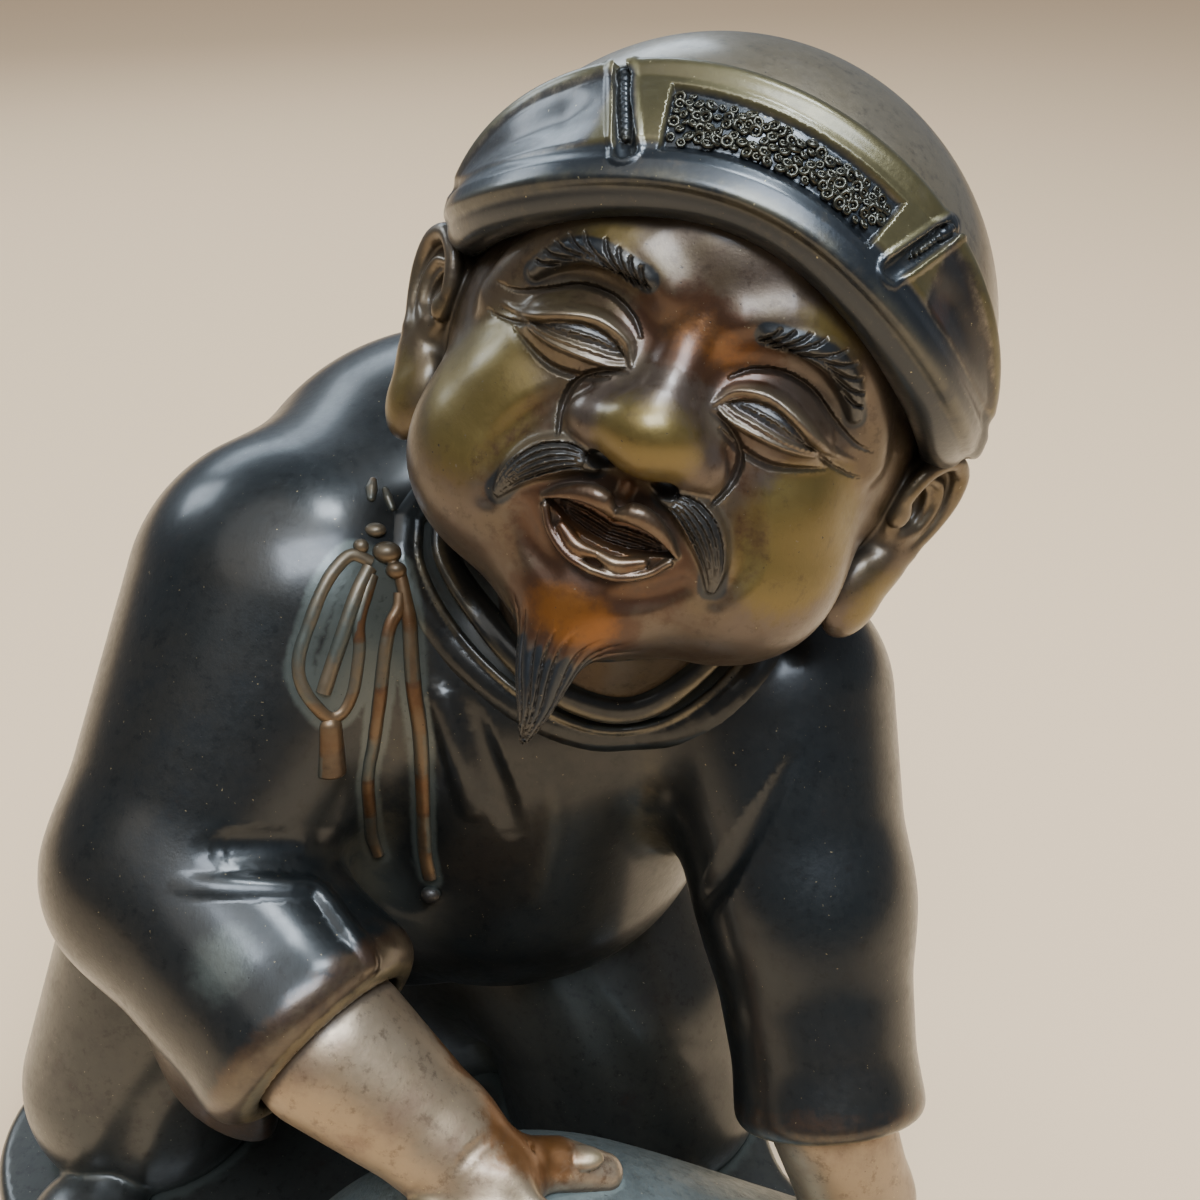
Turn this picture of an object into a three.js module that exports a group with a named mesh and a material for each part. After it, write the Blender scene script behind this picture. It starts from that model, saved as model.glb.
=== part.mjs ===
// A cast bronze lucky god in a puffed cap and round-collared robe. He stoops forward on wide-set
// feet and leans on a full sack, with his head tipped towards his left shoulder.
// Millimetres, +Z up, -Y towards the viewer, +X towards the figure's left hand.
// The form is a field of signed distances, negative inside the metal, that is meshed at the end.
import * as THREE from "three";

// Driving dimensions
const FIGURE_HEIGHT = 250; // soles to the top of the cap
const GROUND_THICKNESS = 9; // the low ground that the feet and the sack stand on
const GROUND_MARGIN = 8; // how far the ground reaches past the feet and the sack
const GROUND_EDGE_ROUND = 2.5; // rounding of the ground's upper edge
const SLEEVE_OPENING_DEPTH = 4; // how far a sleeve is hollow behind its hem
const SLEEVE_WALL = 3; // thickness of the cloth at a sleeve's hem
const TRIANGLES = 9400; // of the whole casting, the face's smaller than the robe's

// The figure keeps its proportions: the places and radii of the drawing are 250ths of its height.
const SHARE = FIGURE_HEIGHT / 250;
const SOLE = 9; // height of the soles in the drawing
const CENTRE = [-36, -38]; // the drawing's place that stands over the middle of the ground
const UNDERSIDE = SOLE - GROUND_THICKNESS / SHARE;

const length = (x, y, z = 0) => Math.sqrt(x * x + y * y + z * z);

// Language of shapes. A shape is a function of x, y, z that gives a distance.
const near = (k, a, b) => Math.max(k - Math.abs(a - b), 0) ** 2 / (4 * k);
const joined = (k, ...shapes) => (x, y, z) => {
  let d = shapes[0](x, y, z);
  for (let i = 1; i < shapes.length; i++) {
    const e = shapes[i](x, y, z);
    d = Math.min(d, e) - near(k, d, e);
  }
  return d;
};
const carved = (k, body, ...tools) => (x, y, z) => {
  let d = body(x, y, z);
  for (const tool of tools) {
    const e = -tool(x, y, z);
    d = Math.max(d, e) + near(k, d, e);
  }
  return d;
};
const kept = (k, body, ...limits) => (x, y, z) => {
  let d = body(x, y, z);
  for (const limit of limits) {
    const e = limit(x, y, z);
    d = Math.max(d, e) + near(k, d, e);
  }
  return d;
};
const egg = ([cx, cy, cz], [rx, ry, rz]) => (x, y, z) => {
  const u = (x - cx) / rx, v = (y - cy) / ry, w = (z - cz) / rz;
  const k0 = length(u, v, w);
  const k1 = length(u / rx, v / ry, w / rz);
  return k1 < 1e-9 ? -Math.min(rx, ry, rz) : (k0 * (k0 - 1)) / k1;
};
// A limb runs from point to point with a radius at each.
const limb = (...stops) => {
  const runs = stops.slice(1).map(([bx, by, bz, rb], i) => {
    const [ax, ay, az, ra] = stops[i];
    const [ux, uy, uz] = [bx - ax, by - ay, bz - az];
    return { ax, ay, az, ra, ux, uy, uz, grow: rb - ra, square: ux * ux + uy * uy + uz * uz };
  });
  return (x, y, z) => {
    let best = Infinity;
    for (const r of runs) {
      const px = x - r.ax, py = y - r.ay, pz = z - r.az;
      const t = Math.min(Math.max((px * r.ux + py * r.uy + pz * r.uz) / r.square, 0), 1);
      best = Math.min(best, length(px - t * r.ux, py - t * r.uy, pz - t * r.uz) - r.ra - t * r.grow);
    }
    return best;
  };
};
// The half space behind a plane through a point, on the side away from its normal.
const behind = (point, normal) => {
  const n = new THREE.Vector3(...normal).normalize();
  const level = n.dot(new THREE.Vector3(...point));
  return (x, y, z) => n.x * x + n.y * y + n.z * z - level;
};
// A ring of an oval course, lying flat at height cz.
const ring = ([cx, cy, cz], [rx, ry], tube) => (x, y, z) => {
  const flat = length((x - cx) / rx, (y - cy) / ry);
  const slope = length((x - cx) / rx ** 2, (y - cy) / ry ** 2) / Math.max(flat, 1e-9);
  return length((flat - 1) / Math.max(slope, 1e-9), z - cz) - tube;
};
// A shape that is only worked out inside a ball; far from it the ball's own distance will do.
const within = ([cx, cy, cz], radius, shape) => (x, y, z) => {
  const d = length(x - cx, y - cy, z - cz) - radius;
  return d > 12 ? d : shape(x, y, z);
};
const both = (shape) => (x, y, z) => shape(Math.abs(x), y, z);
// A shape that is drawn in a frame of its own, which is set at a point and turned.
const placed = (point, [pitch, lean, turn], shape) => {
  const frame = new THREE.Matrix4().makeRotationFromEuler(
    new THREE.Euler(...[pitch, lean, turn].map(THREE.MathUtils.degToRad), "YXZ"));
  const e = frame.setPosition(...point).invert().elements;
  return (x, y, z) => shape(
    e[0] * x + e[4] * y + e[8] * z + e[12],
    e[1] * x + e[5] * y + e[9] * z + e[13],
    e[2] * x + e[6] * y + e[10] * z + e[14]);
};

// Landmarks of the pose
const HEAD = [10.3, -44.2, 197.8];
const HEAD_TURN = [-10.8, 23.5, -13.6]; // face up, lean to his left, turn to his right
const NECK_FOOT = [-2, -34, 148];
const NECK_TOP = [8, -38, 182];
const COLLAR = [0, -41, 158];
const COLLAR_TURN = [16, 18, 3];
const HUMP = [-29, 8, 149];
const HIPS = [-48, 22, 84];
const SHOULDER_RIGHT = [-56, -22, 152];
const ELBOW_RIGHT = [-78, -57, 116];
const HEM_RIGHT = [-47, -82, 97];
const WRIST_RIGHT = [-28, -90, 83];
const SHOULDER_LEFT = [30, -36, 140];
const ELBOW_LEFT = [38, -58, 110];
const HEM_LEFT = [42.5, -80, 76];
const WRIST_LEFT = [48, -84, 60];
const FOOT_RIGHT = [-108, -34, SOLE];
const FOOT_LEFT = [12, -34, SOLE];
const SACK = [-14, -96, 32];
const TIE = [72, -113, 29];

const stop = (point, radius) => [...point, radius];
const between = (a, b, t) => a.map((v, i) => v + t * (b[i] - v));
const along = (a, b) => a.map((v, i) => b[i] - v);

// Head, in its own frame: x to the figure's left, y to the back of the head, z to the crown
const SKULL = joined(8,
  egg([0, 2, -2], [34.5, 35.5, 35]),
  egg([0, 1, 13], [35, 33.5, 34]),
  egg([0, 5, 7], [39.5, 26, 24]),
  both(egg([17, -15, -11], [18.6, 17, 17.5])),
  egg([0, -21, -24.5], [12, 13, 10]));

// The place on the face over x and z, stood proud by a lift
function onFace([x, z, lift = 0]) {
  let [front, back] = [-60, 0];
  for (let i = 0; i < 24; i++) {
    const y = (front + back) / 2;
    if (SKULL(x, y, z) > 0) front = y;
    else back = y;
  }
  return [x, front - lift, z];
}
// A ridge or groove over the face, from rows of x, z, radius and lift
const overFace = (...rows) => limb(...rows.map(([x, z, radius, lift]) => stop(onFace([x, z, lift]), radius)));

function head() {
  const nose = joined(2.5,
    limb([0, -31, 16, 3], [0, -36, 5.5, 6.3]),
    both(egg([7, -34, 3], [4.6, 4.8, 4.2])));
  const brows = both(overFace([9, 23, 1.2], [14, 24.3, 2.4], [20, 22.3, 2.8], [25.5, 17, 2], [27, 13.5, 1]));
  const eyeballs = both(egg([15, -26.5, 12.5], [9.5, 6.6, 4.8]));
  const lids = both(overFace(
    [7.2, 13, 0.9, 1], [10, 14.8, 1.3, 1.4], [13.5, 15.8, 1.5, 1.6], [18, 14.5, 1.4, 1.4], [25, 11, 0.7, 0.2]));
  const slits = both(overFace([8.4, 12.4, 0.5, 0.4], [12, 12.9, 1.7, 1], [16, 12.6, 1.7, 1], [21, 11.2, 0.5, 0.4]));
  const upperLip = both(overFace(
    [0, -7.6, 1.3, 1.6], [3, -6.2, 1.8, 1.5], [6, -6.8, 1.5, 1], [9.2, -9.8, 1, 0.2]));
  const lowerLip = both(overFace(
    [0, -17.6, 2, 1.2], [4.5, -16.8, 1.9, 1], [8, -13.5, 1.3, 0.5], [9.4, -10.6, 0.9, 0.2]));
  const mouth = both(overFace([0, -11.8, 3.4, 2], [4.5, -11.4, 2.8, 2], [7.5, -10.4, 1.2, 1]));
  const moustache = both(overFace([7, -2.8, 1.5, 0.6], [11.5, -4.6, 2.8, 0.4], [14.8, -8.6, 2, 0.4], [16.4, -12, 0.7]));
  const beard = joined(3,
    limb([0, -27, -28, 5.5], [1, -31, -36, 4], [1.6, -34, -44.5, 0.9]));
  const ears = both(joined(2,
    egg([40.5, 3, 4], [5.4, 8.5, 10]),
    limb([40.5, 1, -3, 4.4], [37.5, -2, -14.5, 6.3])));
  const earHollows = both(egg([45.5, -2, 5], [3, 5, 6]));
  const face = carved(1,
    joined(1.6, joined(4, SKULL, eyeballs, nose), brows, lids, upperLip, lowerLip, moustache, ears),
    slits, mouth, earHollows);
  return joined(1, joined(2, face, beard), cap());
}

// Cap: a rolled rim that arches over the brow, a stiff band with a raised crest, a puffed crown
const CROWN = [0.5, 4, 17.5];
const CROWN_RADIUS = 44.8;
const RIM_BROW = 37; // height of the rim over the brow
const RIM_EARS = 15.5; // over the ears
const RIM_NAPE = 10; // at the back of the head
const RIM_TUBE = 3.8;
const RIM_INSET = 3.4; // of the rim's course from the crown's surface
const CREST_FRONT = [0, -21, 53.5]; // the crest's highest place
const CREST_SLOPE = [0, 0.86, 0.51]; // square to the plane that the crest lies in
function cap() {
  const course = CROWN_RADIUS - RIM_INSET;
  const rim = (x, y, z) => {
    const [px, py] = [x - CROWN[0], y - CROWN[1]];
    const flat = length(px, py) + 1e-9;
    const front = -py / flat;
    const rise = front > 0 ? RIM_BROW - RIM_EARS : RIM_NAPE - RIM_EARS;
    const height = RIM_EARS + rise * front * front;
    const radius = Math.sqrt(Math.max(course ** 2 - (height - CROWN[2]) ** 2, 1));
    return 0.9 * (length(flat - radius, z - height) - RIM_TUBE);
  };
  const above = (x, y, z) => {
    const [px, py] = [x - CROWN[0], y - CROWN[1]];
    const front = -py / (length(px, py) + 1e-9);
    const rise = front > 0 ? RIM_BROW - RIM_EARS : RIM_NAPE - RIM_EARS;
    return 0.85 * (RIM_EARS + rise * front * front - z);
  };
  const crown = egg(CROWN, [CROWN_RADIUS, CROWN_RADIUS, CROWN_RADIUS]);
  const stiff = egg(CROWN, [CROWN_RADIUS + 1.6, CROWN_RADIUS + 1.6, CROWN_RADIUS + 1.6]);
  const band = kept(2.2, stiff, behind(CREST_FRONT, CREST_SLOPE));
  return joined(1, rim, kept(1.5, joined(0.8, crown, band), above));
}

// A sleeve is cut off flat at its hem and hollow just inside it.
function sleeve(stops) {
  const wall = SLEEVE_WALL / SHARE;
  const [end, before] = [stops.at(-1), stops.at(-2)];
  const way = along(before, end).slice(0, 3);
  const reach = length(...way);
  const mouth = end.slice(0, 3).map((v, i) => v - (SLEEVE_OPENING_DEPTH / SHARE) * way[i] / reach);
  const beyond = end.slice(0, 3).map((v, i) => v + end[3] * way[i] / reach);
  const hollow = limb([...mouth, end[3] - wall], [...beyond, end[3] - wall]);
  const uncut = limb(...stops, [...beyond, end[3]]);
  const cut = kept(2, uncut, behind(end.slice(0, 3), way));
  return carved(1, cut, kept(0.5, hollow, behind(mouth, way.map((v) => -v))));
}

// Fingers fan out from a palm. Each is a limb of three stops.
function hand(wrist, palm, knuckles, tips, thumb, bend) {
  const fingers = tips.map((tip, i) => {
    const root = between(knuckles[0], knuckles[1], i / (tips.length - 1));
    const joint = between(root, tip, 0.5).map((v, k) => v + bend[k]);
    return limb(stop(root, 4), stop(joint, 3.7), stop(tip, 3));
  });
  return joined(2.5,
    limb(stop(wrist, 10.5), stop(palm, 9)),
    limb(stop(palm, 8), stop(between(knuckles[0], knuckles[1], 0.5), 6)),
    limb(stop(knuckles[0], 5), stop(knuckles[1], 5)),
    limb(...thumb),
    ...fingers);
}

function arms() {
  const rightHand = hand(WRIST_RIGHT, [-19, -95, 77], [[-30, -104, 76], [-9, -104, 75]],
    [[-38, -117, 63], [-27, -121, 62], [-15, -122, 62], [-3, -118, 64]],
    [stop([-17, -91, 76], 5.5), stop([-8, -88, 73.5], 4.6), stop([0.5, -86.5, 69], 3.6)], [0, 0, 2.5]);
  const leftHand = hand(WRIST_LEFT, [49, -92, 52], [[40, -101, 50.5], [58, -100, 48]],
    [[32, -117, 44], [43, -121, 42], [54, -120, 39], [65, -114, 34]],
    [stop([44, -88, 53], 5), stop([35, -91, 51], 4.4), stop([27, -97, 48], 3.4)], [0, 0, 2]);
  const rightForearm = limb(stop(ELBOW_RIGHT, 12), stop(HEM_RIGHT, 14.5), stop(WRIST_RIGHT, 10.5));
  const leftForearm = limb(stop(ELBOW_LEFT, 12), stop(HEM_LEFT, 11.5), stop(WRIST_LEFT, 10.5));
  return joined(2, rightForearm, leftForearm, rightHand, leftHand);
}

// Robe: a loose tunic with wide sleeves, the right one hanging in a bag behind the forearm
const TUNIC_HEM = 58;
const BAG = [-78, -57, 84];
const BAG_HEM = -30; // below the middle of the bag
function robe() {
  const trunk = joined(18,
    egg([-22, -14, 101], [46, 40, 42]),
    egg([-13, -20, 136], [43, 36, 34]),
    egg(HUMP, [46, 42, 42]),
    limb(stop(HUMP, 40), stop(HIPS, 46)));
  const skirt = limb([-50, 20, 80, 46], [-50, 20, 60, 50]);
  const tunic = kept(2.5, joined(10, trunk, skirt), behind([0, 0, TUNIC_HEM], [0, 0, -1]));
  const rightSleeve = sleeve([stop(SHOULDER_RIGHT, 34), stop(ELBOW_RIGHT, 22.5), stop(HEM_RIGHT, 21)]);
  const bag = placed(BAG, [0, 0, -39],
    kept(1.5, egg([0, 0, 0], [21, 8.5, 44]), behind([0, 0, BAG_HEM], [0, 0, -1])));
  const leftSleeve = sleeve([stop(SHOULDER_LEFT, 25), stop(ELBOW_LEFT, 19), stop(HEM_LEFT, 16)]);
  return joined(10, tunic, joined(3, rightSleeve, bag), leftSleeve);
}

// Collar: two rolled rounds about the neck
function collar() {
  return placed(COLLAR, COLLAR_TURN, joined(1.2,
    ring([0, 0, 0], [31, 25], 3.2),
    ring([0, 1, 4.5], [25, 20], 3),
    egg([0, 0, -2], [31, 25, 6.5])));
}

// Wide trousers fall in pleats over the legs, and the toes show below them.
function legs() {
  const right = limb([-62, 14, 74, 38], [-97, -14, 56, 27], [-107, -22, 24, 28]);
  const left = limb([-20, 12, 76, 41], [4, -12, 42, 32], [8, -16, 20, 32]);
  const seat = limb([-52, 20, 70, 44], [-52, 24, 20, 42]);
  const cloth = kept(2, joined(10, right, left, seat), behind([0, 0, SOLE - 2], [0, 0, -1]));
  const pleats = [[-114, -66], [-98, -62], [-2, -22], [18, -8]].map(([low, high]) =>
    limb([high, -40, 74, 4], [0.7 * low + 0.3 * high, -52, 40, 5], [low, -57, 8, 6]));
  const foot = (place, turn) => placed(place, [0, 0, turn],
    kept(1.5, joined(4, egg([0, 0, 5], [12, 17, 10]), egg([0, -20, 3], [12.5, 13, 8])),
      behind([0, 0, -2], [0, 0, -1])));
  return joined(1, carved(5, cloth, ...pleats), foot(FOOT_RIGHT, -18), foot(FOOT_LEFT, 12));
}

// A full sack slumps under both hands, with its mouth gathered and tied at the figure's left.
function sack() {
  const floor = behind([0, 0, 3], [0, 0, -1]);
  const body = joined(20,
    egg(SACK, [52, 38, 39]),
    egg([34, -98, 26], [40, 32, 27]));
  const neck = joined(4,
    limb([54, -105, 27, 22], stop(TIE, 9)),
    kept(2, limb(stop(TIE, 8), [90, -121, 37, 18]), behind([84, -118.5, 34.5], [18, -8, 8])));
  const tie = placed(TIE, [0, 66, -24], ring([0, 0, 0], [9, 9], 2.6));
  return kept(1, joined(1.5, joined(8, body, neck), tie), floor);
}

// Ground: a low slab whose outline follows the feet and the sack
function ground() {
  const pads = [[-106, -26, 28], [10, -26, 21], [-48, 26, 42], [-12, -94, 48], [40, -98, 38], [-66, -68, 40]];
  const plan = (x, y) => {
    let d = Infinity;
    for (const [cx, cy, r] of pads) {
      const e = length(x - cx, y - cy) - r - GROUND_MARGIN / SHARE;
      d = d === Infinity ? e : Math.min(d, e) - near(32, d, e);
    }
    return d;
  };
  const round = GROUND_EDGE_ROUND / SHARE;
  return (x, y, z) => {
    const side = plan(x, y) + round;
    const lid = z - SOLE + round;
    const upper = Math.min(Math.max(side, lid), 0) + length(Math.max(side, 0), Math.max(lid, 0)) - round;
    return Math.max(upper, UNDERSIDE - z);
  };
}

// Meshing. Space is cut into cubes and each cube into six tetrahedra, so the skin always closes.
const CORNERS = [[0, 0, 0], [1, 0, 0], [0, 1, 0], [1, 1, 0], [0, 0, 1], [1, 0, 1], [0, 1, 1], [1, 1, 1]];
const TETRAHEDRA = [[1, 3], [3, 2], [2, 6], [6, 4], [4, 5], [5, 1]].map(([a, b]) => [0, a, b, 7]);
const FINE_CELL = 1.45; // over the spans of the head
const COARSE_CELL = 2.9; // elsewhere
const SPANS = [[-160, 110], [-165, 95], [UNDERSIDE - COARSE_CELL / 2, 270]];
const FINE_SPANS = [[-38, 60], [-96, -20], [134, 262]];
const FACE_CARE = 50; // how much more a stray on the face counts than one on the robe
const BLOCK = 4; // cubes a side that are skipped together when they lie far from the skin
const SKIP_MARGIN = 1.3; // how far past a block the skin must be before the block is skipped

// Calls use(i, j, k) for each place of a small cubic lattice.
function lattice(size, use) {
  for (let k = 0; k < size; k++)
    for (let j = 0; j < size; j++)
      for (let i = 0; i < size; i++) use(i, j, k);
}

// Levels along one axis, close together over the fine stretch and in a whole number of blocks
function levels([low, high], [fineLow, fineHigh]) {
  const made = [low];
  while (made.at(-1) < high || made.length % BLOCK !== 1) {
    const last = made.at(-1);
    made.push(last + (last >= fineLow && last < fineHigh ? FINE_CELL : COARSE_CELL));
  }
  return made;
}

function skin(shape, spans, fineSpans) {
  const lines = spans.map((span, axis) => levels(span, fineSpans[axis]));
  const [nx, ny, nz] = lines.map((line) => line.length);
  const place = (i, axis) => {
    const low = Math.min(Math.floor(i), lines[axis].length - 2);
    return lines[axis][low] + (i - low) * (lines[axis][low + 1] - lines[axis][low]);
  };
  const field = new Float64Array(nx * ny * nz).fill(NaN);
  const sample = (i, j, k) => {
    const n = i + nx * (j + ny * k);
    if (Number.isNaN(field[n])) field[n] = shape(place(i, 0), place(j, 1), place(k, 2)) || 1e-9;
    return n;
  };
  const points = [], faces = [], made = new Map();
  const cut = (m, n) => {
    const [a, b] = m < n ? [m, n] : [n, m];
    const key = a * field.length + b;
    if (!made.has(key)) {
      const t = THREE.MathUtils.clamp(field[a] / (field[a] - field[b]), 0.05, 0.95);
      const grid = [a, b].map((g) => [g % nx, Math.floor(g / nx) % ny, Math.floor(g / (nx * ny))]);
      made.set(key, points.length / 3);
      points.push(...grid[0].map((g, axis) => place(g + t * (grid[1][axis] - g), axis)));
    }
    return made.get(key);
  };
  const fill = (corners) => {
    const inner = corners.filter((n) => field[n] < 0);
    const outer = corners.filter((n) => field[n] >= 0);
    if (!inner.length || !outer.length) return;
    // Whether inner then outer is an odd shuffle of the corners decides which way a face looks.
    const order = [...inner, ...outer].map((n) => corners.indexOf(n));
    const swaps = order.reduce((s, c, p) => s + order.slice(p + 1).filter((o) => o < c).length, 0);
    const face = (a, b, c) => faces.push(a, ...(swaps % 2 ? [c, b] : [b, c]));
    if (inner.length === 1) face(...outer.map((o) => cut(inner[0], o)));
    else if (inner.length === 3) face(...inner.map((o) => cut(o, outer[0])));
    else {
      const [a, b] = inner, [c, d] = outer;
      face(cut(a, c), cut(a, d), cut(b, d));
      face(cut(a, c), cut(b, d), cut(b, c));
    }
  };
  const reachOf = (...corner) => SKIP_MARGIN *
    length(...corner.map((i, axis) => (lines[axis][i + BLOCK] - lines[axis][i]) / 2));
  for (let k = 0; k < nz - 1; k += BLOCK)
    for (let j = 0; j < ny - 1; j += BLOCK)
      for (let i = 0; i < nx - 1; i += BLOCK) {
        const middle = sample(i + BLOCK / 2, j + BLOCK / 2, k + BLOCK / 2);
        if (Math.abs(field[middle]) > reachOf(i, j, k)) continue;
        lattice(BLOCK, (a, b, c) => {
          const cube = CORNERS.map((o) => sample(i + a + o[0], j + b + o[1], k + c + o[2]));
          if (cube.every((n) => field[n] < 0) || cube.every((n) => field[n] >= 0)) return;
          for (const tetrahedron of TETRAHEDRA) fill(tetrahedron.map((c) => cube[c]));
        });
      }
  return { points, faces };
}

// Only the skin that hangs together with its first face stays, so pockets inside the metal fill up.
function outerSkin({ points, faces }) {
  const leader = Int32Array.from({ length: points.length / 3 }, (_, i) => i);
  const lead = (v) => {
    while (leader[v] !== v) v = leader[v] = leader[leader[v]];
    return v;
  };
  for (let t = 0; t < faces.length; t += 3)
    for (let i = 1; i < 3; i++) leader[lead(faces[t + i])] = lead(faces[t]);
  const first = lead(faces[0]); // on the ground's underside, where the meshing starts
  return { points, faces: faces.filter((_, i) => lead(faces[i - (i % 3)]) === first) };
}

// Thinning. Each vertex gathers the planes it lies on. The edge whose removal strays least from
// its planes goes first, as long as the skin stays closed and no face turns over.
const EVENNESS = 3e-3; // how strongly short edges go before long ones
const LEAST_TURN = 0.25; // cosine that a face's old and new normals must keep
const SLIVER = 1e-7; // double area of a face that counts as none
const TERMS = 10; // of a sum of squared distances to planes
const QUEUE_ROOM = 12; // edges that may wait for each vertex

// A queue of edges, cheapest first
class Queue {
  constructor(size) {
    this.costs = new Float64Array(size);
    this.edges = new Int32Array(3 * size);
    this.length = 0;
  }
  put(i, cost, a, b, age) {
    this.costs[i] = cost;
    this.edges[3 * i] = a;
    this.edges[3 * i + 1] = b;
    this.edges[3 * i + 2] = age;
  }
  move(i, from) {
    this.put(i, this.costs[from], this.edges[3 * from], this.edges[3 * from + 1], this.edges[3 * from + 2]);
  }
  push(cost, a, b, age) {
    if (this.length === this.costs.length) return;
    let i = this.length++;
    for (let up = (i - 1) >> 1; i > 0 && this.costs[up] > cost; up = (i - 1) >> 1) {
      this.move(i, up);
      i = up;
    }
    this.put(i, cost, a, b, age);
  }
  pop() {
    const top = this.edges.slice(0, 3);
    const end = --this.length;
    const cost = this.costs[end];
    let i = 0;
    for (let next = 1; next < end; next = 2 * i + 1) {
      if (next + 1 < end && this.costs[next + 1] < this.costs[next]) next++;
      if (this.costs[next] >= cost) break;
      this.move(i, next);
      i = next;
    }
    this.move(i, end);
    return top;
  }
}

function faceNormal(p, a, b, c, out) {
  const ux = p[b] - p[a], uy = p[b + 1] - p[a + 1], uz = p[b + 2] - p[a + 2];
  const vx = p[c] - p[a], vy = p[c + 1] - p[a + 1], vz = p[c + 2] - p[a + 2];
  out[0] = uy * vz - uz * vy;
  out[1] = uz * vx - ux * vz;
  out[2] = ux * vy - uy * vx;
  return length(out[0], out[1], out[2]);
}

// The place with the least sum of squared distances, held lightly to the edge's middle
function bestPlace(q, mx, my, mz) {
  const hold = 1e-3 * (q[0] + q[4] + q[7]) + 1e-9;
  const xx = q[0] + hold, xy = q[1], xz = q[2], yy = q[4] + hold, yz = q[5], zz = q[7] + hold;
  const a = yy * zz - yz * yz, b = xz * yz - xy * zz, c = xy * yz - xz * yy;
  const d = xx * zz - xz * xz, e = xy * xz - xx * yz, f = xx * yy - xy * xy;
  const det = xx * a + xy * b + xz * c;
  const u = hold * mx - q[3], v = hold * my - q[6], w = hold * mz - q[8];
  return [(a * u + b * v + c * w) / det, (b * u + d * v + e * w) / det, (c * u + e * v + f * w) / det];
}

function strayAt(q, [x, y, z]) {
  return x * (q[0] * x + 2 * (q[1] * y + q[2] * z + q[3])) +
    y * (q[4] * y + 2 * (q[5] * z + q[6])) + z * (q[7] * z + 2 * q[8]) + q[9];
}

function thinned({ points, faces }, target, care) {
  const p = Float64Array.from(points);
  const f = Int32Array.from(faces, (v) => 3 * v);
  const count = p.length / 3;
  const around = Array.from({ length: count }, () => []);
  const planes = new Float64Array(TERMS * count);
  const age = new Uint32Array(count);
  const n = [0, 0, 0], m = [0, 0, 0], q = new Float64Array(TERMS);
  for (let t = 0; t < f.length; t += 3) {
    const size = faceNormal(p, f[t], f[t + 1], f[t + 2], n) + 1e-12;
    const [x, y, z] = n.map((v) => v / size);
    const w = -(x * p[f[t]] + y * p[f[t] + 1] + z * p[f[t] + 2]);
    const weight = size * care(p[f[t]], p[f[t] + 1], p[f[t] + 2]);
    const terms = [x * x, x * y, x * z, x * w, y * y, y * z, y * w, z * z, z * w, w * w];
    for (let i = 0; i < 3; i++) {
      const v = f[t + i] / 3;
      around[v].push(t);
      for (let k = 0; k < TERMS; k++) planes[TERMS * v + k] += weight * terms[k];
    }
  }
  const queue = new Queue(QUEUE_ROOM * count);
  const middleOf = (a, b) => [0, 1, 2].map((k) => (p[3 * a + k] + p[3 * b + k]) / 2);
  const meetingPlace = (a, b, middle) => {
    for (let k = 0; k < TERMS; k++) q[k] = planes[TERMS * a + k] + planes[TERMS * b + k];
    return bestPlace(q, ...middle);
  };
  const offer = (a, b) => {
    const middle = middleOf(a, b);
    const stray = strayAt(q, meetingPlace(a, b, middle));
    const half = length(p[3 * a] - middle[0], p[3 * a + 1] - middle[1], p[3 * a + 2] - middle[2]);
    queue.push(stray + EVENNESS * half ** 4 * care(...middle), a, b, age[a] + age[b]);
  };
  const neighbours = (v) => {
    const found = new Set();
    for (const t of around[v]) for (let i = 0; i < 3; i++) found.add(f[t + i] / 3);
    found.delete(v);
    return found;
  };
  const turnsOver = (v, other, spot) => {
    const old = p.slice(3 * v, 3 * v + 3);
    let bad = false;
    for (const t of around[v]) {
      if (f[t] === 3 * other || f[t + 1] === 3 * other || f[t + 2] === 3 * other) continue;
      const before = faceNormal(p, f[t], f[t + 1], f[t + 2], n);
      p.set(spot, 3 * v);
      const after = faceNormal(p, f[t], f[t + 1], f[t + 2], m);
      p.set(old, 3 * v);
      const turn = n[0] * m[0] + n[1] * m[1] + n[2] * m[2];
      bad = before > SLIVER && (after < SLIVER || turn < LEAST_TURN * before * after);
      if (bad) break;
    }
    return bad;
  };
  for (let a = 0; a < count; a++) for (const b of neighbours(a)) if (a < b) offer(a, b);
  let left = f.length / 3;
  while (left > target && queue.length) {
    const [a, b, then] = queue.pop();
    if (!around[a].length || !around[b].length || then !== age[a] + age[b]) continue;
    const spot = meetingPlace(a, b, middleOf(a, b));
    const mine = neighbours(a);
    let shared = 0;
    for (const v of neighbours(b)) if (mine.has(v)) shared++;
    if (shared !== 2 || turnsOver(a, b, spot) || turnsOver(b, a, spot)) continue;
    for (const t of around[b]) {
      const i = [0, 1, 2].find((k) => f[t + k] === 3 * b);
      if (f[t] === 3 * a || f[t + 1] === 3 * a || f[t + 2] === 3 * a) {
        for (let k = 0; k < 3; k++) {
          const v = f[t + k] / 3;
          if (v !== b) around[v] = around[v].filter((other) => other !== t);
        }
        left--;
      } else {
        f[t + i] = 3 * a;
        around[a].push(t);
      }
    }
    around[b] = [];
    p.set(spot, 3 * a);
    for (let k = 0; k < TERMS; k++) planes[TERMS * a + k] += planes[TERMS * b + k];
    age[a]++;
    for (const v of neighbours(a)) offer(a, v);
  }
  const renumbered = new Map(), position = [], index = [];
  for (const t of new Set(around.flat()))
    for (let i = 0; i < 3; i++) {
      const v = f[t + i];
      if (!renumbered.has(v)) {
        renumbered.set(v, position.length / 3);
        position.push(p[v], p[v + 1], p[v + 2]);
      }
      index.push(renumbered.get(v));
    }
  return { points: position, faces: index };
}

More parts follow.
